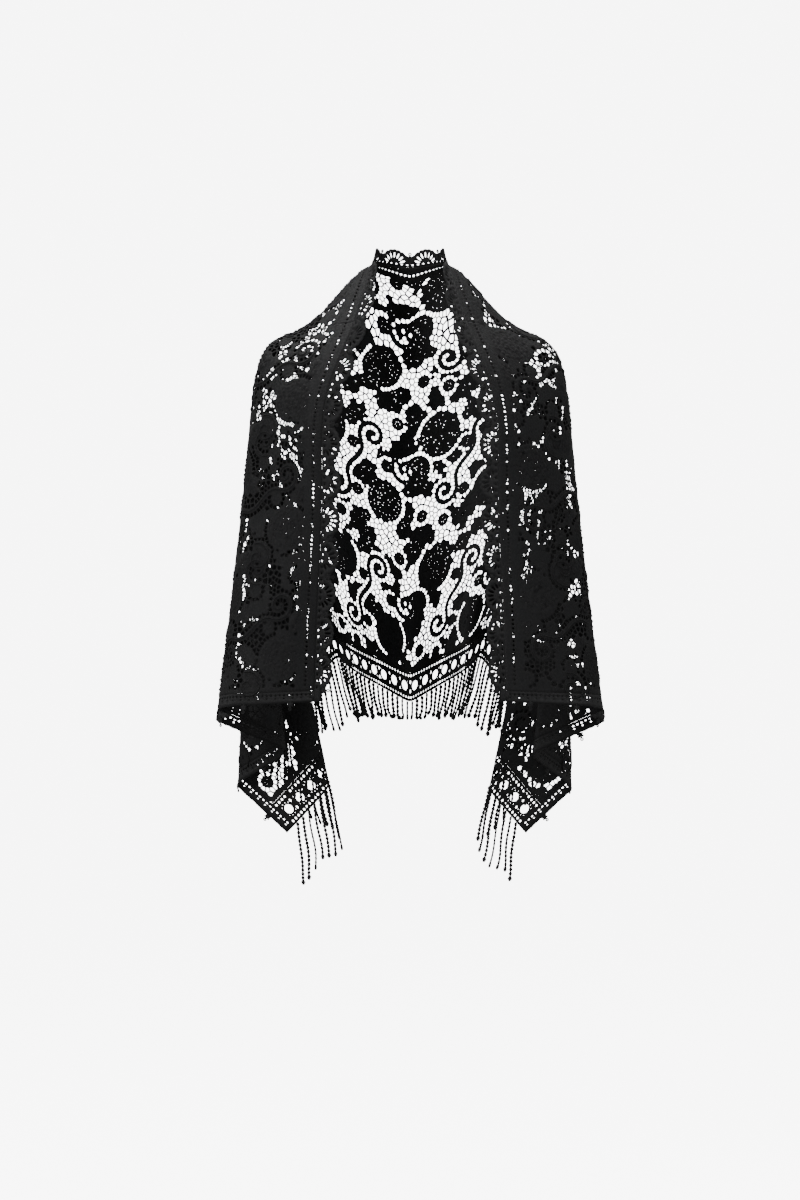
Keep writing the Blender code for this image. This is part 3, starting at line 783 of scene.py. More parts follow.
# Lace
@dataclass
class CellNet:
    """Places of the lace, each with its kind, how much of its cell it fills, and its height."""

    grid: float = 0.006
    points: list[tuple[float, float]] = field(default_factory=list)
    kinds: list[Cell] = field(default_factory=list)
    fills: list[float] = field(default_factory=list)
    rises: list[float] = field(default_factory=list)
    petals: list[int] = field(default_factory=list)
    taken: dict[tuple[int, int], list[int]] = field(default_factory=dict)
    next_petal: int = 0

    PIN_FILL = 0.80
    MOTIF_PINS = 0.35
    GROUND_PINS = 0.04

    def new_petal(self) -> int:
        """A number for one more raised form."""
        self.next_petal += 1
        return self.next_petal

    def free(self, point: tuple[float, float], apart: float) -> bool:
        """Whether no place lies nearer than apart."""
        column, row = int(point[0] // self.grid), int(point[1] // self.grid)
        reach = math.ceil(apart / self.grid)
        for i in range(column - reach, column + reach + 1):
            for j in range(row - reach, row + reach + 1):
                for other in self.taken.get((i, j), ()):
                    x, y = self.points[other]
                    if math.hypot(x - point[0], y - point[1]) < apart:
                        return False
        return True

    def add(
        self,
        point: Sequence[float],
        apart: float,
        kind: Cell,
        fill: float = 0.8,
        rise: float = 0.0,
        petal: int = 0,
    ) -> bool:
        """Adds one place, unless another lies too near.

        Args:
            point: The flat place.
            apart: The least distance to any other.
            kind: What stands there.
            fill: The share of its cell that its opening or its form fills.
            rise: How high its middle stands.
            petal: The raised form that it belongs to, or 0.

        Returns:
            Whether it was added.
        """
        place = (float(point[0]), float(point[1]))
        if not self.free(place, apart):
            return False
        self.taken.setdefault((int(place[0] // self.grid), int(place[1] // self.grid)), []).append(
            len(self.points)
        )
        self.points.append(place)
        self.kinds.append(kind)
        self.fills.append(fill)
        self.rises.append(rise)
        self.petals.append(petal)
        return True

    def mesh(self) -> FlatMesh:
        """Joins the cells with bars and makes each closed cell a small dome.

        Returns:
            The flat mesh of the whole lace.
        """
        points = np.array(self.points)
        _, _, faces, order, *_ = delaunay_2d_cdt([Vector(p) for p in points], [], [], 0, 1e-8)
        index = np.array([group[0] for group in order])
        corners = index[np.array([tuple(face) for face in faces])]
        a, b, c = (points[corners[:, i]] for i in range(3))
        flip = np.cross(b - a, c - a) < 0
        corners[flip] = corners[flip][:, ::-1]
        a, b, c = (points[corners[:, i]] for i in range(3))
        ab, ac = b - a, c - a
        double = 2 * (ab[:, 0] * ac[:, 1] - ab[:, 1] * ac[:, 0])
        ab2, ac2 = (ab**2).sum(axis=1), (ac**2).sum(axis=1)
        centre = a + np.column_stack(
            [
                (ac[:, 1] * ab2 - ab[:, 1] * ac2) / double,
                (ab[:, 0] * ac2 - ac[:, 0] * ab2) / double,
            ]
        )
        kinds = np.array([kind is Cell.OUTSIDE for kind in self.kinds])
        closed = np.array([kind in (Cell.DENSE, Cell.MOTIF) for kind in self.kinds])
        fills, rises = np.array(self.fills), np.array(self.rises)
        petals = np.array(self.petals)
        pin = self.pinholes(corners, closed, petals, centre)
        # One corner point for each cell at each meeting of three cells
        site = corners.ravel()
        middle = np.repeat(centre, 3, axis=0)
        shut = np.repeat(closed[corners].all(axis=1) & ~pin, 3)
        owner = np.where(shut, -1, site)
        keys = np.column_stack([owner, np.round(middle * 2e5).astype(np.int64)])
        _, first, merged = np.unique(keys, axis=0, return_index=True, return_inverse=True)
        merged = merged.reshape(-1)
        share = np.where(np.repeat(pin, 3), self.PIN_FILL, fills[site])
        share = np.where(shut, 1.0, share)
        flat = points[site] + (middle - points[site]) * share[:, None]
        same = (petals[corners] == petals[corners][:, :1]).all(axis=1) & (petals[corners][:, 0] > 0)
        lift = np.repeat(np.where(same, 0.8, 0.12), 3) * rises[site]
        flat, lift = flat[first], lift[first]
        number = merged.reshape(-1, 3)
        offset = len(flat)
        flat = np.concatenate([flat, points])
        rise = np.concatenate([lift, rises])
        # Joints
        shown = ~kinds[corners].any(axis=1)
        triangles = [number[shown & ~pin]]
        # Bars and domes, from each pair of cells that meet along an edge
        directed = np.concatenate([corners[:, [0, 1]], corners[:, [1, 2]], corners[:, [2, 0]]])
        start = np.concatenate([number[:, 0], number[:, 1], number[:, 2]])
        stop = np.concatenate([number[:, 1], number[:, 2], number[:, 0]])
        size = len(points)
        forward = directed[:, 0].astype(np.int64) * size + directed[:, 1]
        backward = directed[:, 1].astype(np.int64) * size + directed[:, 0]
        order = np.argsort(forward)
        found = np.searchsorted(forward[order], backward)
        found = np.clip(found, 0, len(order) - 1)
        partner = order[found]
        paired = (forward[partner] == backward) & (directed[:, 0] < directed[:, 1])
        one, two = directed[paired, 0], directed[paired, 1]
        a1, b1 = start[paired], stop[paired]
        b2, a2 = start[partner[paired]], stop[partner[paired]]
        bar = ~kinds[one] & ~kinds[two]
        triangles.append(np.column_stack([a1, a2, b2])[bar])
        triangles.append(np.column_stack([a1, b2, b1])[bar])
        triangles.append(np.column_stack([one + offset, a2, a1])[closed[one]])
        triangles.append(np.column_stack([two + offset, b1, b2])[closed[two]])
        joined = np.concatenate(triangles)
        whole = (
            (joined[:, 0] != joined[:, 1])
            & (joined[:, 1] != joined[:, 2])
            & (joined[:, 2] != joined[:, 0])
        )
        return FlatMesh(flat, joined[whole], rise)

    @staticmethod
    def pinholes(
        corners: np.ndarray, closed: np.ndarray, petals: np.ndarray, centre: np.ndarray
    ) -> np.ndarray:
        """Which joints are small holes: those between closed cells of different forms."""
        shut = closed[corners].all(axis=1)
        differ = (petals[corners] != petals[corners][:, :1]).any(axis=1)
        ground = (petals[corners] == 0).all(axis=1)
        chosen = (np.sin(centre[:, 0] * 911.0 + centre[:, 1] * 577.0) * 43.0) % 1.0
        return shut & ((differ & (chosen < CellNet.MOTIF_PINS)) | (ground & (chosen < CellNet.GROUND_PINS)))


@dataclass
class Repeat:
    """The pattern of one repeat of the field, in millimetres from its corner."""

    length: float = 190.0
    roses: tuple[tuple[float, float, float], ...] = (
        # along, across, size
        (50.0, 58.0, 1.0),
        (145.0, 158.0, 0.92),
    )
    spirals: tuple[tuple[float, float, float, float], ...] = (
        # along, across, start of the outer end in degrees, way round
        (128.0, 62.0, 150.0, 1.0),
        (62.0, 146.0, -30.0, 1.0),
        (182.0, 104.0, 200.0, -1.0),
        (10.0, 104.0, 20.0, -1.0),
    )
    leaves: tuple[tuple[float, float, float, float], ...] = (
        # along, across, direction in degrees, length
        (88.0, 40.0, -32.0, 34.0),
        (20.0, 30.0, 215.0, 30.0),
        (26.0, 86.0, 118.0, 30.0),
        (182.0, 140.0, -38.0, 32.0),
        (114.0, 182.0, 145.0, 34.0),
        (108.0, 118.0, 40.0, 30.0),
        (172.0, 186.0, 60.0, 26.0),
    )
    clumps: tuple[tuple[float, float, float, float, float], ...] = (
        # along, across, length, width, direction in degrees
        (16.0, 58.0, 30.0, 15.0, 80.0),
        (84.0, 20.0, 32.0, 14.0, 10.0),
        (100.0, 60.0, 24.0, 15.0, 100.0),
        (150.0, 28.0, 30.0, 15.0, 150.0),
        (150.0, 72.0, 26.0, 15.0, 60.0),
        (40.0, 118.0, 34.0, 14.0, 20.0),
        (84.0, 112.0, 26.0, 16.0, 130.0),
        (88.0, 168.0, 30.0, 15.0, 70.0),
        (40.0, 176.0, 28.0, 15.0, 150.0),
        (136.0, 122.0, 26.0, 14.0, 10.0),
        (176.0, 160.0, 26.0, 14.0, 100.0),
        (120.0, 200.0, 30.0, 12.0, 0.0),
    )
    flowers: tuple[tuple[float, float], ...] = (
        # along, across
        (95.0, 78.0),
        (170.0, 36.0),
        (96.0, 150.0),
        (22.0, 176.0),
        (62.0, 190.0),
        (150.0, 104.0),
    )


class LaceField:
    """The lace field: roses, scrolls, leaves and small flowers on a ground of uneven mesh."""

    THICKNESS = 0.0011
    GROUND = 0.0054
    OPEN_FILL = 0.79
    CLUMP_STEP = 0.0068
    CLUMP_FILL = 0.76
    OPEN_DRIFT = -0.1
    BAND = 0.033
    EDGE_ROW = 0.0026
    SPLITS = (-TIP_ALONG, TIP_ALONG)

    def __init__(self, drape: Drape) -> None:
        """Starts an empty field."""
        self.drape = drape
        self.net = CellNet()
        self.repeat = Repeat()
        self.cord_paths: list[np.ndarray] = []

    def edges(self) -> None:
        """Closed rows along the field's four sides, with their mirror rows outside."""
        step = 0.0055
        row = self.EDGE_ROW
        along = np.arange(-FIELD_END + row, FIELD_END - row + step / 2, step)
        for x in along:
            for near, out in ((row, -row), (FIELD_WIDTH - row, FIELD_WIDTH + row)):
                self.net.add((x, near), 0.002, Cell.DENSE, 0.94, 0.0003)
                self.net.add((x, out), 0.002, Cell.OUTSIDE)
        across = np.arange(row + step, FIELD_WIDTH - row - step / 2, step)
        for y in across:
            for side in (-1, 1):
                self.net.add((side * (FIELD_END - row), y), 0.003, Cell.DENSE, 0.94, 0.0003)
                self.net.add((side * (FIELD_END + row), y), 0.003, Cell.OUTSIDE)

    def band(self) -> None:
        """The dense band inside the scalloped edge: rows of knots with a ladder between."""
        rows = (
            # across, spacing, kind, share of the cell
            (0.0082, 0.0062, Cell.DENSE, 0.90),
            (0.0142, 0.0062, Cell.OPEN, 0.50),
            (0.0205, 0.0062, Cell.DENSE, 0.90),
            (0.0265, 0.0062, Cell.DENSE, 0.88),
        )
        for number, (across, spacing, kind, fill) in enumerate(rows):
            count = int(2 * FIELD_END / spacing)
            for i in range(count):
                x = -FIELD_END + (i + 0.5 * (number % 2)) * spacing + 0.006
                self.net.add((x, across), 0.0046, kind, fill, 0.0005)

    def ring(
        self, centre: np.ndarray, radius: float, count: int, turn: float, group: int, rise: float
    ) -> None:
        """One ring of a rose, its places gathered in petals.

        Args:
            centre: The rose's middle.
            radius: The ring's radius.
            count: How many places.
            turn: Where the ring starts, in radians.
            group: How many places make a petal.
            rise: How high the petals stand.
        """
        petal = 0
        for i in range(count):
            if i % group == 0:
                petal = self.net.new_petal()
            angle = turn + math.tau * i / count
            place = centre + radius * np.array((math.cos(angle), math.sin(angle)))
            self.net.add(place, 0.0036, Cell.MOTIF, 0.93, rise, petal)

    def rose(self, centre: np.ndarray, size: float) -> None:
        """A full rose."""
        rings = (
            # radius, places, places in a petal, height
            (0.0, 1, 1, 0.0024),
            (0.0062, 5, 5, 0.0014),
            (0.0122, 9, 3, 0.0023),
            (0.0184, 15, 3, 0.0014),
            (0.0246, 20, 4, 0.0021),
            (0.0304, 24, 4, 0.0011),
        )
        for number, (radius, count, group, rise) in enumerate(rings):
            turn = 0.7 * number + 40 * centre[0]
            self.ring(centre, radius * size, count, turn, group, rise)
        first = 170 * centre[0] + 90 * centre[1]
        for start in (first, first + 2.6):
            angles = np.linspace(start, start + 1.25, 18)
            around = np.column_stack([np.cos(angles), np.sin(angles)])
            self.ladder(centre + 0.0335 * size * around, 0.0030, 1)

    def leaf(self, root: np.ndarray, turn: float, length: float) -> None:
        """A leaf of two raised halves with a groove between."""
        ahead = np.array((math.cos(turn), math.sin(turn)))
        aside = np.array((-ahead[1], ahead[0]))
        halves = {1: self.net.new_petal(), -1: self.net.new_petal()}
        steps = np.arange(0.003, length, 0.0058)
        for step in steps:
            share = step / length
            wide = 0.0030 + 0.0048 * math.sin(math.pi * share)
            for side, petal in halves.items():
                place = root + ahead * step + aside * side * wide * 0.62
                self.net.add(place, 0.0036, Cell.MOTIF, 0.93, 0.0017, petal)
            if wide > 0.0065:
                for side, petal in halves.items():
                    place = root + ahead * (step + 0.002) + aside * side * (wide + 0.0028)
                    self.net.add(place, 0.0038, Cell.MOTIF, 0.9, 0.0006, petal)

    def spiral(self, centre: np.ndarray, start: float, way: float) -> np.ndarray:
        """The path of one scroll, from its outer end to its eye."""
        turns = np.linspace(0, 1.3 * math.tau, 60)
        radius = 0.0225 - 0.0145 * turns / math.tau
        angle = start + way * turns
        return centre + np.column_stack([np.cos(angle), np.sin(angle)]) * radius[:, None]

    def scroll(self, path: np.ndarray) -> None:
        """A raised band along a path, with a ladder of holes on both sides."""
        length = np.concatenate([[0], np.cumsum(np.linalg.norm(np.diff(path, axis=0), axis=1))])
        petal = self.net.new_petal()
        for at in np.arange(0.001, length[-1], 0.0054):
            place = np.array([np.interp(at, length, path[:, i]) for i in (0, 1)])
            self.net.add(place, 0.0036, Cell.MOTIF, 0.93, 0.0008, petal)
        self.cord_paths.append(path)

    def ladder(self, path: np.ndarray, distance: float, *sides: int) -> None:
        """Open cells along a path.

        Args:
            path: Rows of two.
            distance: How far from the path they stand.
            sides: Which sides of it: 1 is on the right hand.
        """
        length = np.concatenate([[0], np.cumsum(np.linalg.norm(np.diff(path, axis=0), axis=1))])
        slope = np.gradient(path, axis=0)
        slope /= np.linalg.norm(slope, axis=1, keepdims=True)
        for at in np.arange(0.002, length[-1], 0.0052):
            place = np.array([np.interp(at, length, path[:, i]) for i in (0, 1)])
            ahead = np.array([np.interp(at, length, slope[:, i]) for i in (0, 1)])
            for side in sides:
                aside = np.array((ahead[1], -ahead[0])) * side
                self.net.add(place + aside * distance, 0.0047, Cell.OPEN, self.OPEN_FILL)

    def flower(self, centre: np.ndarray) -> None:
        """A small flower of six petals in a ring of holes."""
        self.net.add(centre, 0.003, Cell.MOTIF, 0.9, 0.0012, self.net.new_petal())
        for i in range(6):
            angle = math.tau * i / 6 + 30 * centre[0]
            place = centre + 0.0062 * np.array((math.cos(angle), math.sin(angle)))
            self.net.add(place, 0.0034, Cell.MOTIF, 0.9, 0.0010, self.net.new_petal())
        angles = np.linspace(0, math.tau, 25)
        ring = centre + 0.0095 * np.column_stack([np.cos(angles), np.sin(angles)])
        self.ladder(ring, 0.0032, 1)

    def motifs(self) -> None:
        """Lays every repeat: solid forms first, then the ladders, then the ground."""
        repeat = self.repeat
        across_pitch = FIELD_WIDTH / 3
        scale = across_pitch / 0.2037
        corners = [
            np.array((column * repeat.length / 1000, row * across_pitch))
            for column in range(-4, 4)
            for row in range(3)
        ]
        scrolls: list[np.ndarray] = []
        for corner in corners:
            for x, y, size in repeat.roses:
                self.rose(corner + np.array((x, y * scale)) / 1000, size)
            first, second, third, fourth = (
                self.spiral(corner + np.array((x, y)) / 1000, math.radians(start), way)
                for x, y, start, way in repeat.spirals
            )
            for one in (first, second, third, fourth):
                scrolls.append(one)
            for one, other in ((first, second),):
                t = np.linspace(0, 1, 24)[:, None]
                lead = one[0] + (one[0] - one[2]) / np.linalg.norm(one[0] - one[2]) * 0.03
                trail = other[0] + (other[0] - other[2]) / np.linalg.norm(other[0] - other[2]) * 0.03
                stem = (
                    one[0] * (1 - t) ** 3
                    + 3 * lead * t * (1 - t) ** 2
                    + 3 * trail * t**2 * (1 - t)
                    + other[0] * t**3
                )
                scrolls.append(stem)
        for path in scrolls:
            self.scroll(path)
        for corner in corners:
            for x, y, turn, length in repeat.leaves:
                self.leaf(corner + np.array((x, y)) / 1000, math.radians(turn), length / 1000)
            for x, y in repeat.flowers:
                self.flower(corner + np.array((x, y)) / 1000)
        for path in scrolls:
            self.ladder(path, 0.0060, 1, -1)
        for corner in corners:
            for x, y, length, width, turn in repeat.clumps:
                place = corner + np.array((x, y)) / 1000
                self.clump(place, length / 1000, width / 1000, math.radians(turn))

    def clump(self, centre: np.ndarray, length: float, width: float, turn: float) -> None:
        """A clump of large uneven holes between two solid forms."""
        step = self.CLUMP_STEP
        cos, sin = math.cos(turn), math.sin(turn)
        for row in range(-3, 4):
            for column in range(-4, 5):
                x = (column + 0.5 * (row % 2)) * step
                y = row * step * 0.9
                if (2 * x / length) ** 2 + (2 * y / width) ** 2 > 1:
                    continue
                place = centre + np.array((x * cos - y * sin, x * sin + y * cos))
                if abs(place[0]) < FIELD_END - 0.008 and 0.032 < place[1] < FIELD_WIDTH - 0.008:
                    self.net.add(place, 0.0048, Cell.OPEN, self.CLUMP_FILL)

    def ground(self) -> None:
        """Dense uneven mesh everywhere else."""
        pitch = self.GROUND
        rows = int(FIELD_WIDTH / (pitch * 0.866)) + 1
        columns = int(2 * FIELD_END / pitch) + 1
        chance = np.random.default_rng(17)
        for row in range(rows):
            for column in range(columns):
                x = -FIELD_END + (column + 0.5 * (row % 2)) * pitch
                y = row * pitch * 0.866
                x, y = np.array((x, y)) + chance.normal(0, 0.0005, 2)
                if not (abs(x) < FIELD_END - 0.0045 and 0.0045 < y < FIELD_WIDTH - 0.0045):
                    continue
                drift = math.sin(61 * x + 2.3 * math.sin(43 * y)) + math.sin(67 * y + 2.1 * math.sin(51 * x))
                if drift > self.OPEN_DRIFT and y > self.BAND:
                    self.net.add((x, y), 0.0056, Cell.OPEN, self.CLUMP_FILL)
                else:
                    self.net.add((x, y), 0.0040, Cell.DENSE, 0.92, 0.0005)

    def build(self, finish: Any) -> list[Any]:
        """Makes the three stretches of the field.

        Args:
            finish: The thread's material.

        Returns:
            Their objects.
        """
        self.edges()
        self.band()
        self.motifs()
        self.ground()
        LOG.info("lace field: %d cells", len(self.net.points))
        whole = self.net.mesh()
        middles = whole.flat[whole.triangles].mean(axis=1)[:, 0]
        pieces = []
        for stretch in Stretch:
            low, high = stretch.field_span
            kept = (middles >= low) & (middles < high)
            piece = worn_wall(
                f"lace_field_{stretch.place}", self.drape, whole.part(kept), self.THICKNESS, finish
            )
            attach(piece, BODY)
            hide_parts(f"field_{stretch.place}")
            high - low
            LOG.info("%s: %d faces", piece.name, len(piece.data.polygons))
            pieces.append(piece)
        return pieces


def columns_of(stretch: Stretch) -> np.ndarray:
    """The column lines of a stretch, along the cloth."""
    if stretch is Stretch.BACK:
        return np.linspace(-TIP_ALONG, TIP_ALONG, BACK_COLUMNS + 1)
    return stretch.side * np.linspace(TIP_ALONG, FIELD_END, FRONT_COLUMNS + 1)


@dataclass
class ScallopEdge:
    """The scalloped edging: a fan in each scallop and a small flower in each notch."""

    drape: Drape
    thickness: float = 0.0012
    notch: float = 0.0095
    depth: float = 0.0245
    lobes: int = 7
    lobe: float = 0.0013
    spokes: int = 7
    notches: list[float] = field(default_factory=list)

    def scallop(self, start: float, end: float) -> tuple[np.ndarray, list[np.ndarray]]:
        """One scallop's edge and its openings.

        Args:
            start: Where it starts along the seam.
            end: Where it ends.

        Returns:
            The points of its edge and the loops of its openings.
        """
        pitch, middle = end - start, (start + end) / 2
        share = np.linspace(0, 1, 43)[:-1]
        swell = np.sin(math.pi * share) ** 0.62
        depth = self.notch + (self.depth - self.notch) * swell
        depth += self.lobe * np.abs(np.sin(math.pi * self.lobes * share)) * (share > 0)
        edge = np.column_stack([start + share * pitch, -depth])
        gaps = []
        for i in range(self.spokes):
            turn = math.pi * (0.14 + 0.72 * i / (self.spokes - 1))
            reach = 0.0125 + 0.0025 * math.sin(turn)
            centre = (
                middle - math.cos(turn) * reach * 1.12 * math.copysign(1, pitch),
                -0.0022 - math.sin(turn) * reach * 0.98,
            )
            lean = math.atan2(centre[1] + 0.0022, centre[0] - middle)
            gaps.append(ellipse(centre, 0.0092, 0.0030, lean, 8))
        for i in range(6):
            x = start + pitch * (i + 0.5) / 6
            gaps.append(ellipse((x, -0.0036), 0.0034, 0.0026, 0.0, 6))
        return edge, gaps

    def rise(self, flat: np.ndarray) -> np.ndarray:
        """Height of the outer side: a raised rib next to the edge."""
        return 0.0004 * np.clip(-flat[:, 1] / self.depth, 0, 1)

    def build(self, stretch: Stretch, finish: Any) -> Any:
        """Makes the edging of one stretch.

        Args:
            stretch: The stretch.
            finish: The thread's material.

        Returns:
            The object.
        """
        columns = columns_of(stretch)
        edges, gaps = [], []
        for start, end in zip(columns[:-2:2], columns[2::2]):
            edge, cut = self.scallop(start, end)
            edges.append(edge)
            gaps += cut
            self.notches.append(start)
        end = columns[-1]
        if stretch is Stretch.BACK:
            tail = [(end, -self.notch)]
        else:
            end = stretch.side * HALF_LENGTH
            tail = [(columns[-1], -self.notch), (end, -self.notch)]
            self.notches.append(columns[-1])
        seam = [(x, 0.0) for x in np.linspace(end, columns[0], 3 * len(columns))]
        outline = np.concatenate([*edges, tail, seam])
        step = 0.0042
        low, high = sorted((columns[0], end))
        grid = [
            (x, y) for x in np.arange(low + step, high - step, step) for y in (-0.0072,)
        ]
        grid = [p for p in grid if all(np.hypot(*(g.mean(axis=0) - p)) > 0.003 for g in gaps)]
        sheet = cut_sheet(outline, gaps, np.array(grid), self.rise)
        piece = worn_wall(f"scallop_edge_{stretch.place}", self.drape, sheet, self.thickness, finish)
        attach(piece, BODY)
        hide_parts(f"edging_{stretch.place}")
        area = 0.84 * self.depth * (high - low)
        high - low
        return piece


@dataclass
class RingHeader:
    """The openwork band over the fringe: a ring in each column, with small openings round it."""

    drape: Drape
    thickness: float = 0.0012
    ring: float = 0.0074

    def rise(self, flat: np.ndarray) -> np.ndarray:
        """Height of the outer side."""
        return 0.0003 + 0.0 * flat[:, 0]

    def openings(self, start: float, end: float) -> list[np.ndarray]:
        """The openings of one column."""
        pitch, middle = end - start, (start + end) / 2
        centre = (middle, FIELD_WIDTH + HEADER_HEIGHT / 2)
        gaps = [ellipse(centre, 2 * self.ring, 2 * self.ring, 0.0, 18)]
        for i in range(12):
            angle = math.tau * (i + 0.5) / 12
            reach = self.ring + 0.0032
            place = (centre[0] + reach * math.cos(angle), centre[1] + reach * math.sin(angle))
            if abs(math.cos(angle)) < 0.96:
                gaps.append(ellipse(place, 0.0022, 0.0018, angle, 5))
        for across in (0.0055, HEADER_HEIGHT - 0.0055):
            for i in range(4):
                x = start + pitch * (i + 0.5) / 4
                gaps.append(ellipse((x, FIELD_WIDTH + across), 0.0046, 0.0042, 0.0, 6))
        for across in (0.0150, HEADER_HEIGHT - 0.0150):
            place = (start + pitch * 0.06, FIELD_WIDTH + across)
            gaps.append(ellipse(place, 0.0042, 0.0058, 0.0, 6))
        return gaps

    def build(self, stretch: Stretch, finish: Any) -> Any:
        """Makes the header of one stretch.

        Args:
            stretch: The stretch.
            finish: The thread's material.

        Returns:
            The object.
        """
        columns = columns_of(stretch)
        gaps: list[np.ndarray] = []
        for start, end in zip(columns, columns[1:]):
            gaps += self.openings(start, end)
        low, high = sorted((columns[0], columns[-1]))
        fine = np.linspace(low, high, int((high - low) / 0.006) + 1)
        kept = [g for g in gaps if g[:, 0].min() > low + 0.0006 and g[:, 0].max() < high - 0.0006]
        outline = np.array(
            [(x, FIELD_WIDTH + 0.0001) for x in fine] + [(x, WIDTH) for x in fine[::-1]]
        )
        grid = [
            (x, FIELD_WIDTH + y)
            for x in np.arange(low + 0.004, high - 0.002, 0.006)
            for y in (0.0105, 0.022, 0.0335)
        ]
        clear = np.array([g.mean(axis=0) for g in kept])
        wide = np.array([0.0006 + np.ptp(g, axis=0).max() / 2 for g in kept])
        grid = [p for p in grid if (np.hypot(*(clear - p).T) > wide).all()]
        sheet = cut_sheet(outline, kept, np.array(grid), self.rise)
        piece = worn_wall(f"ring_header_{stretch.place}", self.drape, sheet, self.thickness, finish)
        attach(piece, BODY)
        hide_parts(f"header_{stretch.place}")
        high - low
        return piece


@dataclass
class EndBorder:
    """The plain border on an end of the shawl, with small flowers on its free edge."""

    drape: Drape
    thickness: float = 0.0012
    loops: int = 9

    def rise(self, flat: np.ndarray) -> np.ndarray:
        """Height of the outer side: two low ribs along the border."""
        depth = np.abs(flat[:, 0]) - FIELD_END
        return 0.0004 * (np.abs(depth - 0.014) < 0.003)

    def build(self, stretch: Stretch, finish: Any) -> Any:
        """Makes the border of one end.

        Args:
            stretch: The stretch.
            finish: The thread's material.

        Returns:
            The object.
        """
        rows = np.linspace(0, WIDTH, 110)
        side = stretch.side
        wave = HALF_LENGTH + 0.0009 * np.abs(np.sin(math.pi * rows / 0.012))
        inner = [(side * (FIELD_END + 0.0001), y) for y in rows]
        outer = [(side * x, y) for x, y in zip(wave, rows)]
        outline = np.array(inner + outer[::-1])
        gaps = []
        for i, y in enumerate(np.arange(0.006, WIDTH - 0.004, 0.0068)):
            gaps.append(ellipse((side * (FIELD_END + 0.0052), y), 0.0030, 0.0038, 0.0, 6))
            if i % 2 == 0:
                gaps.append(ellipse((side * (FIELD_END + 0.0098), y), 0.0024, 0.0030, 0.0, 6))
        grid = [(side * (FIELD_END + 0.014), y) for y in np.arange(0.004, WIDTH - 0.003, 0.006)]
        sheet = cut_sheet(outline, gaps, np.array(grid), self.rise)
        piece = worn_wall(f"end_border_{stretch.place}", self.drape, sheet, self.thickness, finish)
        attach(piece, BODY)
        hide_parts(f"border_{stretch.place}")
        return piece


# Repeated forms
class NodeTree:
    """A Geometry Nodes tree with named inputs."""

    def __init__(self, name: str, inputs: dict[str, tuple[str, Any]]) -> None:
        """Starts the tree.

        Args:
            name: Its name.
            inputs: Each input's socket type and value, by name.
        """
        self.tree = bpy.data.node_groups.new(name, "GeometryNodeTree")
        self.tree.interface.new_socket("Geometry", in_out="INPUT", socket_type="NodeSocketGeometry")
        self.tree.interface.new_socket("Geometry", in_out="OUTPUT", socket_type="NodeSocketGeometry")
        self.values = {key: value for key, (_, value) in inputs.items()}
        for key, (kind, _) in inputs.items():
            self.tree.interface.new_socket(key, in_out="INPUT", socket_type=kind)
        self.start = self.tree.nodes.new("NodeGroupInput")
        self.end = self.tree.nodes.new("NodeGroupOutput")

    def node(self, kind: str, settings: dict[str, Any], values: dict[Any, Any]) -> Any:
        """Adds a node with its settings, and links or values in its sockets."""
        made = self.tree.nodes.new(kind)
        for key, setting in settings.items():
            setattr(made, key, setting)
        for key, value in values.items():
            if isinstance(value, bpy.types.NodeSocket):
                self.tree.links.new(value, made.inputs[key])
            else:
                made.inputs[key].default_value = value
        return made

    def given(self, name: str) -> Any:
        """The socket of a named input."""
        return self.start.outputs[name]

    def finish(self, geometry: Any, material: Any) -> None:
        """Ends the tree in Realize Instances and Set Material."""
        real = self.node("GeometryNodeRealizeInstances", {}, {"Geometry": geometry})
        dressed = self.node(
            "GeometryNodeSetMaterial", {}, {"Geometry": real.outputs[0], "Material": material}
        )
        self.tree.links.new(dressed.outputs[0], self.end.inputs[0])

    def applied(self, source: Any, name: str) -> Any:
        """The plain mesh that the tree makes from a source object.

        Args:
            source: The object that the tree reads. It is removed.
            name: The new object's name.

        Returns:
            The new object.
        """
        modifier = source.modifiers.new("repeat", "NODES")
        modifier.node_group = self.tree
        for item in self.tree.interface.items_tree:
            if item.in_out == "INPUT" and item.name in self.values:
                modifier[item.identifier] = self.values[item.name]
        graph = bpy.context.evaluated_depsgraph_get()
        mesh = bpy.data.meshes.new_from_object(source.evaluated_get(graph))
        mesh.name = name
        bpy.data.objects.remove(source, do_unlink=True)
        piece = bpy.data.objects.new(name, mesh)
        bpy.context.scene.collection.objects.link(piece)
        mesh.polygons.foreach_set("use_smooth", np.ones(len(mesh.polygons), bool))
        return piece


def add_flat_map(piece: Any) -> None:
    """Gives a repeated piece the UV map that the thread finishes read, from its own places."""
    mesh = piece.data
    if "flat" in mesh.uv_layers:
        return
    layer = mesh.uv_layers.new(name="flat")
    co = np.empty(3 * len(mesh.vertices), np.float32)
    mesh.vertices.foreach_get("co", co)
    co = co.reshape(-1, 3)
    corners = np.empty(len(mesh.loops), np.int32)
    mesh.loops.foreach_get("vertex_index", corners)
    layer.data.foreach_set("uv", co[corners][:, [0, 2]].ravel())


def point_cloud(name: str, points: np.ndarray, **attributes: np.ndarray) -> Any:
    """A mesh of loose points with attributes on them.

    Args:
        name: Its name.
        points: Rows of x, y, z.
        attributes: Rows of three, or single numbers, for each point.

    Returns:
        The object.
    """
    mesh = bpy.data.meshes.new(name)
    mesh.from_pydata([tuple(p) for p in points], [], [])
    for key, rows in attributes.items():
        vector = np.ndim(rows) == 2
        layer = mesh.attributes.new(key, "FLOAT_VECTOR" if vector else "FLOAT", "POINT")
        layer.data.foreach_set("vector" if vector else "value", np.asarray(rows, np.float32).ravel())
    cloud = bpy.data.objects.new(name, mesh)
    bpy.context.scene.collection.objects.link(cloud)
    return cloud


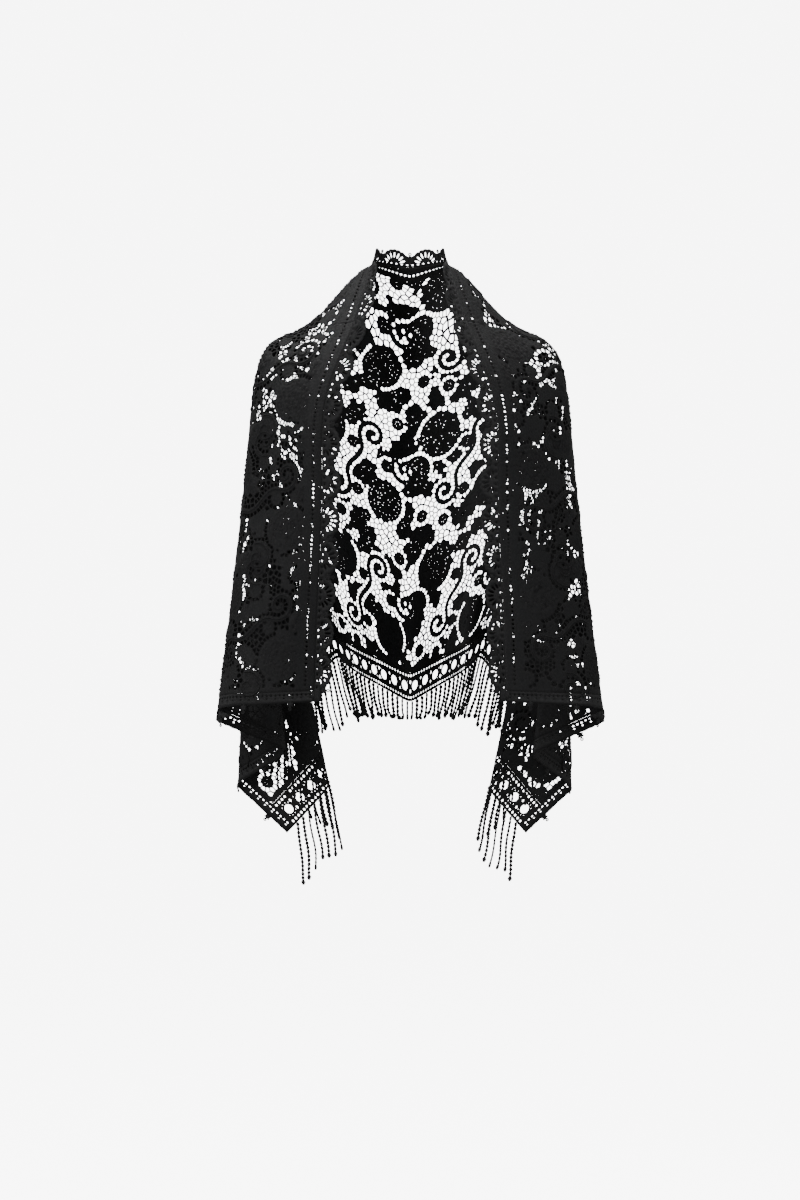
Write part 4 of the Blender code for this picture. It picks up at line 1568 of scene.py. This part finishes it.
def bead_mesh(name: str, length: float, width: float, thick: float, sides: int, waist: float) -> Any:
    """A flat guipure bead: a small disc with a waist at both ends, lying along Z.

    Args:
        name: The object's name.
        length: From waist to waist.
        width: Across X.
        thick: Across Y.
        sides: Points round it.
        waist: The share of its width at the waists.

    Returns:
        The object, which isn't shown.
    """
    rows = ((0.0, waist), (0.22, 0.72), (0.5, 1.0), (0.78, 0.72), (1.0, waist))
    verts, faces = [], []
    for down, share in rows:
        for i in range(sides):
            angle = math.tau * i / sides
            flat = 0.55 + 0.45 * share
            verts.append(
                (
                    width / 2 * share * math.cos(angle),
                    thick / 2 * flat * math.sin(angle),
                    -length * down,
                )
            )
    for row in range(len(rows) - 1):
        for i in range(sides):
            j = (i + 1) % sides
            a, b = row * sides + i, row * sides + j
            faces.append((a, a + sides, b + sides, b))
    faces.append(tuple(range(sides)))
    last = (len(rows) - 1) * sides
    faces.append(tuple(range(last + sides - 1, last - 1, -1)))
    mesh = bpy.data.meshes.new(name)
    mesh.from_pydata(verts, [], faces)
    bead = bpy.data.objects.new(name, mesh)
    return bead


def down_the_cloth(flat: np.ndarray) -> np.ndarray:
    """The direction on the flat cloth that hangs downwards when worn, near the fringed edge."""
    ahead = math.copysign(max(abs(flat[0]) - TIP_ALONG, 0), flat[0])
    down = np.array((ahead, flat[1] - TIP_ACROSS))
    return down / np.linalg.norm(down)


@dataclass
class Fringe:
    """Beaded strands under the header."""

    drape: Drape
    length: float = 0.096
    bead: float = 0.0066
    width: float = 0.0060
    thick: float = 0.0034
    sway: float = 0.0022
    start: float = 0.0006
    seed: int = 5

    def strands(self, stretch: Stretch) -> list[np.ndarray]:
        """The middle line of each strand of a stretch."""
        columns = columns_of(stretch)
        halves = np.sort(np.concatenate([columns, (columns[1:] + columns[:-1]) / 2]))
        lines = []
        for root in (halves[1:] + halves[:-1]) / 2:
            flat = np.array((root, WIDTH + self.start))
            length = self.length * (1 + 0.05 * math.sin(91 * root))
            steps = np.linspace(0, length, 24)[:, None]
            down = down_the_cloth(flat)
            aside = np.array((-down[1], down[0]))
            bend = self.sway * steps / length * np.sin(steps * 70 + 900 * root)
            away = self.drape.outward(flat[None])
            line = self.drape.place(flat + down * steps + aside * bend)
            bow = self.sway * (steps / length) * np.sin(steps * 55 + 1700 * root)
            lines.append(line + away * bow)
        return lines

    def build(self, stretch: Stretch, finish: Any) -> Any:
        """Makes the fringe of one stretch.

        Args:
            stretch: The stretch.
            finish: The cord's material.

        Returns:
            The object.
        """
        chance = np.random.default_rng(self.seed + stretch.side)
        places, ways, turns, sizes = [], [], [], []
        for line in self.strands(stretch):
            walked = np.linalg.norm(np.diff(line, axis=0), axis=1)
            length = np.concatenate([[0], np.cumsum(walked)])
            count = int(length[-1] / self.bead)
            turn = chance.uniform(0, math.pi)
            twist = chance.normal(0, 0.05)
            for i in range(count):
                ends = [
                    np.array([np.interp(at, length, line[:, k]) for k in range(3)])
                    for at in (i * self.bead, (i + 1) * self.bead)
                ]
                places.append(ends[0])
                ways.append((ends[1] - ends[0]) / np.linalg.norm(ends[1] - ends[0]))
                turns.append(turn + twist * i)
                sizes.append(1.0 if i < count - 1 else 1.25)
        cloud = point_cloud(
            f"strands_{stretch.place}",
            np.array(places),
            way=np.array(ways),
            turn=np.array(turns),
            size=np.array(sizes),
        )
        bead = bead_mesh("bead", self.bead, self.width, self.thick, 8, 0.42)
        tree = NodeTree(
            f"bead_chain_{stretch.place}",
            {"Bead": ("NodeSocketObject", bead)},
        )
        info = tree.node("GeometryNodeObjectInfo", {}, {"Object": tree.given("Bead")})
        way = tree.node(
            "GeometryNodeInputNamedAttribute", {"data_type": "FLOAT_VECTOR"}, {"Name": "way"}
        )
        down = tree.node(
            "ShaderNodeVectorMath",
            {"operation": "SCALE"},
            {0: way.outputs["Attribute"], "Scale": -1.0},
        )
        aim = tree.node(
            "FunctionNodeAlignRotationToVector", {"axis": "Z"}, {"Vector": down.outputs[0]}
        )
        turn = tree.node(
            "GeometryNodeInputNamedAttribute", {"data_type": "FLOAT"}, {"Name": "turn"}
        )
        spin = tree.node(
            "FunctionNodeAxisAngleToRotation",
            {},
            {"Axis": (0, 0, 1), "Angle": turn.outputs["Attribute"]},
        )
        both = tree.node(
            "FunctionNodeRotateRotation",
            {"rotation_space": "LOCAL"},
            {"Rotation": aim.outputs[0], "Rotate By": spin.outputs[0]},
        )
        size = tree.node(
            "GeometryNodeInputNamedAttribute", {"data_type": "FLOAT"}, {"Name": "size"}
        )
        dots = tree.node("GeometryNodeMeshToPoints", {}, {"Mesh": tree.start.outputs[0]})
        copies = tree.node(
            "GeometryNodeInstanceOnPoints",
            {},
            {
                "Points": dots.outputs[0],
                "Instance": info.outputs["Geometry"],
                "Rotation": both.outputs[0],
                "Scale": size.outputs["Attribute"],
            },
        )
        tree.finish(copies.outputs[0], finish)
        piece = tree.applied(cloud, f"beaded_fringe_{stretch.place}")
        bpy.data.objects.remove(bead, do_unlink=True)
        add_flat_map(piece)
        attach(piece, BODY)
        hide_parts(f"fringe_{stretch.place}")
        LOG.info("%s: %d faces", piece.name, len(piece.data.polygons))
        return piece


@dataclass
class NotchFlowers:
    """The small flowers with a loop at their tip, in the notches and along the end borders."""

    drape: Drape
    petal: float = 0.0056
    loop: float = 0.0018
    loop_cord: float = 0.0010

    def shape(self) -> Any:
        """One flower, in its own plane XY, its loop towards -Y."""
        verts: list[tuple[float, float, float]] = [(0, 0, 0.0016), (0, 0, -0.0008)]
        faces: list[tuple[int, ...]] = []
        count = 24
        for i in range(count):
            angle = math.tau * i / count
            radius = self.petal * (0.62 + 0.38 * abs(math.sin(3 * angle)))
            inner = radius * 0.62
            verts.append((inner * math.cos(angle), inner * math.sin(angle), 0.0011))
            verts.append((radius * math.cos(angle), radius * math.sin(angle), 0.0001))
            verts.append((inner * math.cos(angle), inner * math.sin(angle), -0.0007))
        for i in range(count):
            a, b = 2 + 3 * i, 2 + 3 * ((i + 1) % count)
            faces += [(0, a, b), (a, a + 1, b + 1, b), (a + 1, a + 2, b + 2, b + 1)]
            faces.append((1, b + 2, a + 2))
        base = len(verts)
        ring, tube = 10, 5
        for i in range(ring):
            angle = math.tau * i / ring
            for j in range(tube):
                round_tube = math.tau * j / tube
                reach = self.loop + self.loop_cord * math.cos(round_tube)
                verts.append(
                    (
                        reach * math.cos(angle),
                        -self.petal - self.loop * 0.5 + reach * math.sin(angle),
                        self.loop_cord * math.sin(round_tube),
                    )
                )
        for i in range(ring):
            for j in range(tube):
                a, b = base + i * tube + j, base + i * tube + (j + 1) % tube
                c = base + (i + 1) % ring * tube + (j + 1) % tube
                d = base + (i + 1) % ring * tube + j
                faces.append((a, d, c, b))
        mesh = bpy.data.meshes.new("flower")
        mesh.from_pydata(verts, [], faces)
        return bpy.data.objects.new("flower", mesh)

    def build(self, places: np.ndarray, outs: np.ndarray, finish: Any, name: str) -> Any:
        """Sets a flower at each place.

        Args:
            places: Flat places.
            outs: The flat direction in which each loop points.
            finish: The thread's material.
            name: The piece's name.

        Returns:
            The object.
        """
        worn = self.drape.raised(places, np.full(len(places), 0.0006))
        normal = self.drape.outward(places)
        ahead = self.drape.place(places + outs * 0.004) - self.drape.place(places)
        cloud = point_cloud(f"{name}_places", worn, normal=normal, ahead=ahead)
        flower = self.shape()
        tree = NodeTree(f"{name}_tree", {"Flower": ("NodeSocketObject", flower)})
        info = tree.node("GeometryNodeObjectInfo", {}, {"Object": tree.given("Flower")})
        up, out = (
            tree.node(
                "GeometryNodeInputNamedAttribute", {"data_type": "FLOAT_VECTOR"}, {"Name": key}
            )
            for key in ("normal", "ahead")
        )
        back = tree.node(
            "ShaderNodeVectorMath",
            {"operation": "SCALE"},
            {0: out.outputs["Attribute"], "Scale": -1.0},
        )
        aim = tree.node(
            "FunctionNodeAlignRotationToVector", {"axis": "Z"}, {"Vector": up.outputs["Attribute"]}
        )
        turn = tree.node(
            "FunctionNodeAlignRotationToVector",
            {"axis": "Y", "pivot_axis": "Z"},
            {"Rotation": aim.outputs[0], "Vector": back.outputs[0]},
        )
        dots = tree.node("GeometryNodeMeshToPoints", {}, {"Mesh": tree.start.outputs[0]})
        copies = tree.node(
            "GeometryNodeInstanceOnPoints",
            {},
            {
                "Points": dots.outputs[0],
                "Instance": info.outputs["Geometry"],
                "Rotation": turn.outputs[0],
            },
        )
        tree.finish(copies.outputs[0], finish)
        piece = tree.applied(cloud, name)
        bpy.data.objects.remove(flower, do_unlink=True)
        add_flat_map(piece)
        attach(piece, BODY)
        return piece


@dataclass
class RaisedCord:
    """Thick outline cord stitched on the outer side of the lace."""

    drape: Drape
    radius: float = 0.0008
    sides: int = 5
    step: float = 0.0042
    height: float = 0.0013

    def build(self, paths: Sequence[np.ndarray], finish: Any, name: str) -> Any:
        """Lays the cord along flat paths.

        Args:
            paths: Rows of two for each cord.
            finish: The cord's material.
            name: The piece's name.

        Returns:
            The object.
        """
        points: list[tuple[float, ...]] = []
        edges: list[tuple[int, int]] = []
        for path in paths:
            walked = np.linalg.norm(np.diff(path, axis=0), axis=1)
            length = np.concatenate([[0], np.cumsum(walked)])
            at = np.linspace(0, length[-1], max(int(length[-1] / self.step), 2) + 1)
            flat = np.column_stack([np.interp(at, length, path[:, i]) for i in (0, 1)])
            worn = self.drape.raised(flat, np.full(len(flat), self.height))
            first = len(points)
            points += [tuple(p) for p in worn]
            edges += [(first + i, first + i + 1) for i in range(len(worn) - 1)]
        mesh = bpy.data.meshes.new(f"{name}_paths")
        mesh.from_pydata(points, edges, [])
        source = bpy.data.objects.new(f"{name}_paths", mesh)
        bpy.context.scene.collection.objects.link(source)
        tree = NodeTree(f"{name}_tree", {"Radius": ("NodeSocketFloat", self.radius)})
        line = tree.node("GeometryNodeMeshToCurve", {}, {"Mesh": tree.start.outputs[0]})
        profile = tree.node(
            "GeometryNodeCurvePrimitiveCircle",
            {},
            {"Resolution": self.sides, "Radius": tree.given("Radius")},
        )
        tube = tree.node(
            "GeometryNodeCurveToMesh",
            {},
            {"Curve": line.outputs[0], "Profile Curve": profile.outputs[0], "Fill Caps": True},
        )
        tree.finish(tube.outputs[0], finish)
        piece = tree.applied(source, name)
        add_flat_map(piece)
        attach(piece, BODY)
        LOG.info("%s: %d faces", piece.name, len(piece.data.polygons))
        return piece


@dataclass
class Studio:
    """The pale floor and backdrop, the lights, and the camera of the photograph."""

    pixel: float = 0.00148
    centre: tuple[float, float] = (410.0, 262.0)
    frame: tuple[int, int] = (800, 1200)
    distance: float = 6.0
    floor: float = -1.42
    room: float = 9.0
    curve: float = 3.0
    wall: float = 7.0
    glow: float = 7.0
    sensor: float = 36.0

    def backdrop(self) -> Any:
        """A round pale floor that curves up into a wall, with the camera inside it."""
        profile = [(0.0, 0.0), (self.room - self.curve, 0.0)]
        for i in range(1, 13):
            angle = math.radians(90 * i / 12)
            out = self.room - self.curve + self.curve * math.sin(angle)
            profile.append((out, self.curve * (1 - math.cos(angle))))
        profile.append((self.room, self.wall))
        sides = 64
        verts = [(0.0, 0.0, self.floor)]
        faces: list[tuple[int, ...]] = []
        for reach, up in profile[1:]:
            for i in range(sides):
                angle = math.tau * i / sides
                verts.append((reach * math.cos(angle), reach * math.sin(angle), self.floor + up))
        for i in range(sides):
            faces.append((0, 1 + i, 1 + (i + 1) % sides))
        for row in range(len(profile) - 2):
            first = 1 + row * sides
            for i in range(sides):
                j = (i + 1) % sides
                faces.append((first + i, first + sides + i, first + sides + j, first + j))
        mesh = bpy.data.meshes.new("backdrop")
        mesh.from_pydata(verts, [], faces)
        mesh.polygons.foreach_set("use_smooth", np.ones(len(faces), bool))
        paper = Shader("backdrop_paper")
        surface = paper.node(
            "ShaderNodeBsdfPrincipled",
            {},
            {
                "Base Color": (0.93, 0.93, 0.93, 1),
                "Roughness": 0.9,
                "Emission Color": (1, 1, 1, 1),
                "Emission Strength": self.glow,
            },
        )
        paper.node("ShaderNodeOutputMaterial", {}, {"Surface": paper.value(surface)})
        mesh.materials.append(paper.material)
        backdrop = bpy.data.objects.new("backdrop", mesh)
        backdrop.visible_diffuse = False
        backdrop.visible_glossy = False
        bpy.context.scene.collection.objects.link(backdrop)
        return backdrop

    @staticmethod
    def light(name: str, place: Sequence[float], aim: Sequence[float], size: float, power: float) -> None:
        """One soft light.

        Args:
            name: Its name.
            place: Where it stands.
            aim: What it points at.
            size: Its side.
            power: In watts.
        """
        lamp = bpy.data.lights.new(name, "AREA")
        lamp.shape = "SQUARE"
        lamp.size = size
        lamp.energy = power
        holder = bpy.data.objects.new(name, lamp)
        holder.location = place
        way = Vector(aim) - Vector(place)
        holder.visible_camera = False
        holder.rotation_mode = "QUATERNION"
        holder.rotation_quaternion = way.to_track_quat("-Z", "Y")
        bpy.context.scene.collection.objects.link(holder)

    def lights(self) -> None:
        """Soft light from both sides, the front and above, and a pale surround."""
        middle = (0, 0, -0.45)
        self.light("key_light", (-2.2, -3.2, 1.6), middle, 1.6, 190)
        self.light("fill_light", (2.6, -2.8, 0.6), middle, 2.0, 60)
        self.light("top_light", (0, 0.6, 2.6), middle, 2.2, 90)
        world = bpy.data.worlds.new("surround")
        world.use_nodes = True
        surround = world.node_tree.nodes["Background"]
        surround.inputs["Color"].default_value = (1, 1, 1, 1)
        surround.inputs["Strength"].default_value = 0.4
        bpy.context.scene.world = world

    def camera(self) -> None:
        """The camera, at the photograph's angle and frame."""
        width, height = self.frame
        eye = bpy.data.cameras.new("camera")
        eye.sensor_width = self.sensor
        eye.lens = self.sensor * self.distance / (height * self.pixel)
        holder = bpy.data.objects.new("camera", eye)
        x = (width / 2 - self.centre[0]) * self.pixel
        z = -(height / 2 - self.centre[1]) * self.pixel
        holder.location = (x, -self.distance, z)
        holder.rotation_euler = (math.radians(90), 0, 0)
        eye.clip_end = 60
        bpy.context.scene.collection.objects.link(holder)
        bpy.context.scene.camera = holder

    def build(self) -> None:
        """Sets up everything that isn't part of the shawl."""
        self.backdrop()
        self.lights()
        self.camera()


def main() -> None:
    """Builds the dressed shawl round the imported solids."""
    logging.basicConfig(level=logging.INFO, format="%(name)s %(message)s")
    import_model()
    Studio().build()
    drape = Drape()
    lace, edge, cord = (finish.material() for finish in (LACE, EDGE, CORD))
    lace_field = LaceField(drape)
    lace_field.build(lace)
    scallops = ScallopEdge(drape)
    header = RingHeader(drape)
    border = EndBorder(drape)
    fringe = Fringe(drape)
    for stretch in Stretch:
        for maker, finish in ((scallops, edge), (header, edge), (fringe, cord)):
            piece = maker.build(stretch, finish)
            LOG.info("%s: %d faces", piece.name, len(piece.data.polygons))
        if stretch is not Stretch.BACK:
            piece = border.build(stretch, edge)
            LOG.info("%s: %d faces", piece.name, len(piece.data.polygons))
    flowers = NotchFlowers(drape)
    notches = sorted(set(round(x, 5) for x in scallops.notches))
    along = np.array([(x, -scallops.notch - 0.0040) for x in notches])
    flowers.build(along, np.tile((0.0, -1.0), (len(along), 1)), edge, "notch_flowers")
    rows = WIDTH * (np.arange(border.loops) + 0.5) / border.loops
    ends = np.array([(side * (HALF_LENGTH + 0.004), y) for side in (-1, 1) for y in rows])
    outs = np.array([(side, 0.0) for side in (-1, 1) for _ in rows])
    flowers.build(ends, outs, edge, "border_flowers")
    RaisedCord(drape).build(lace_field.cord_paths, lace, "scroll_cord")


if __name__ == "__main__":
    main()
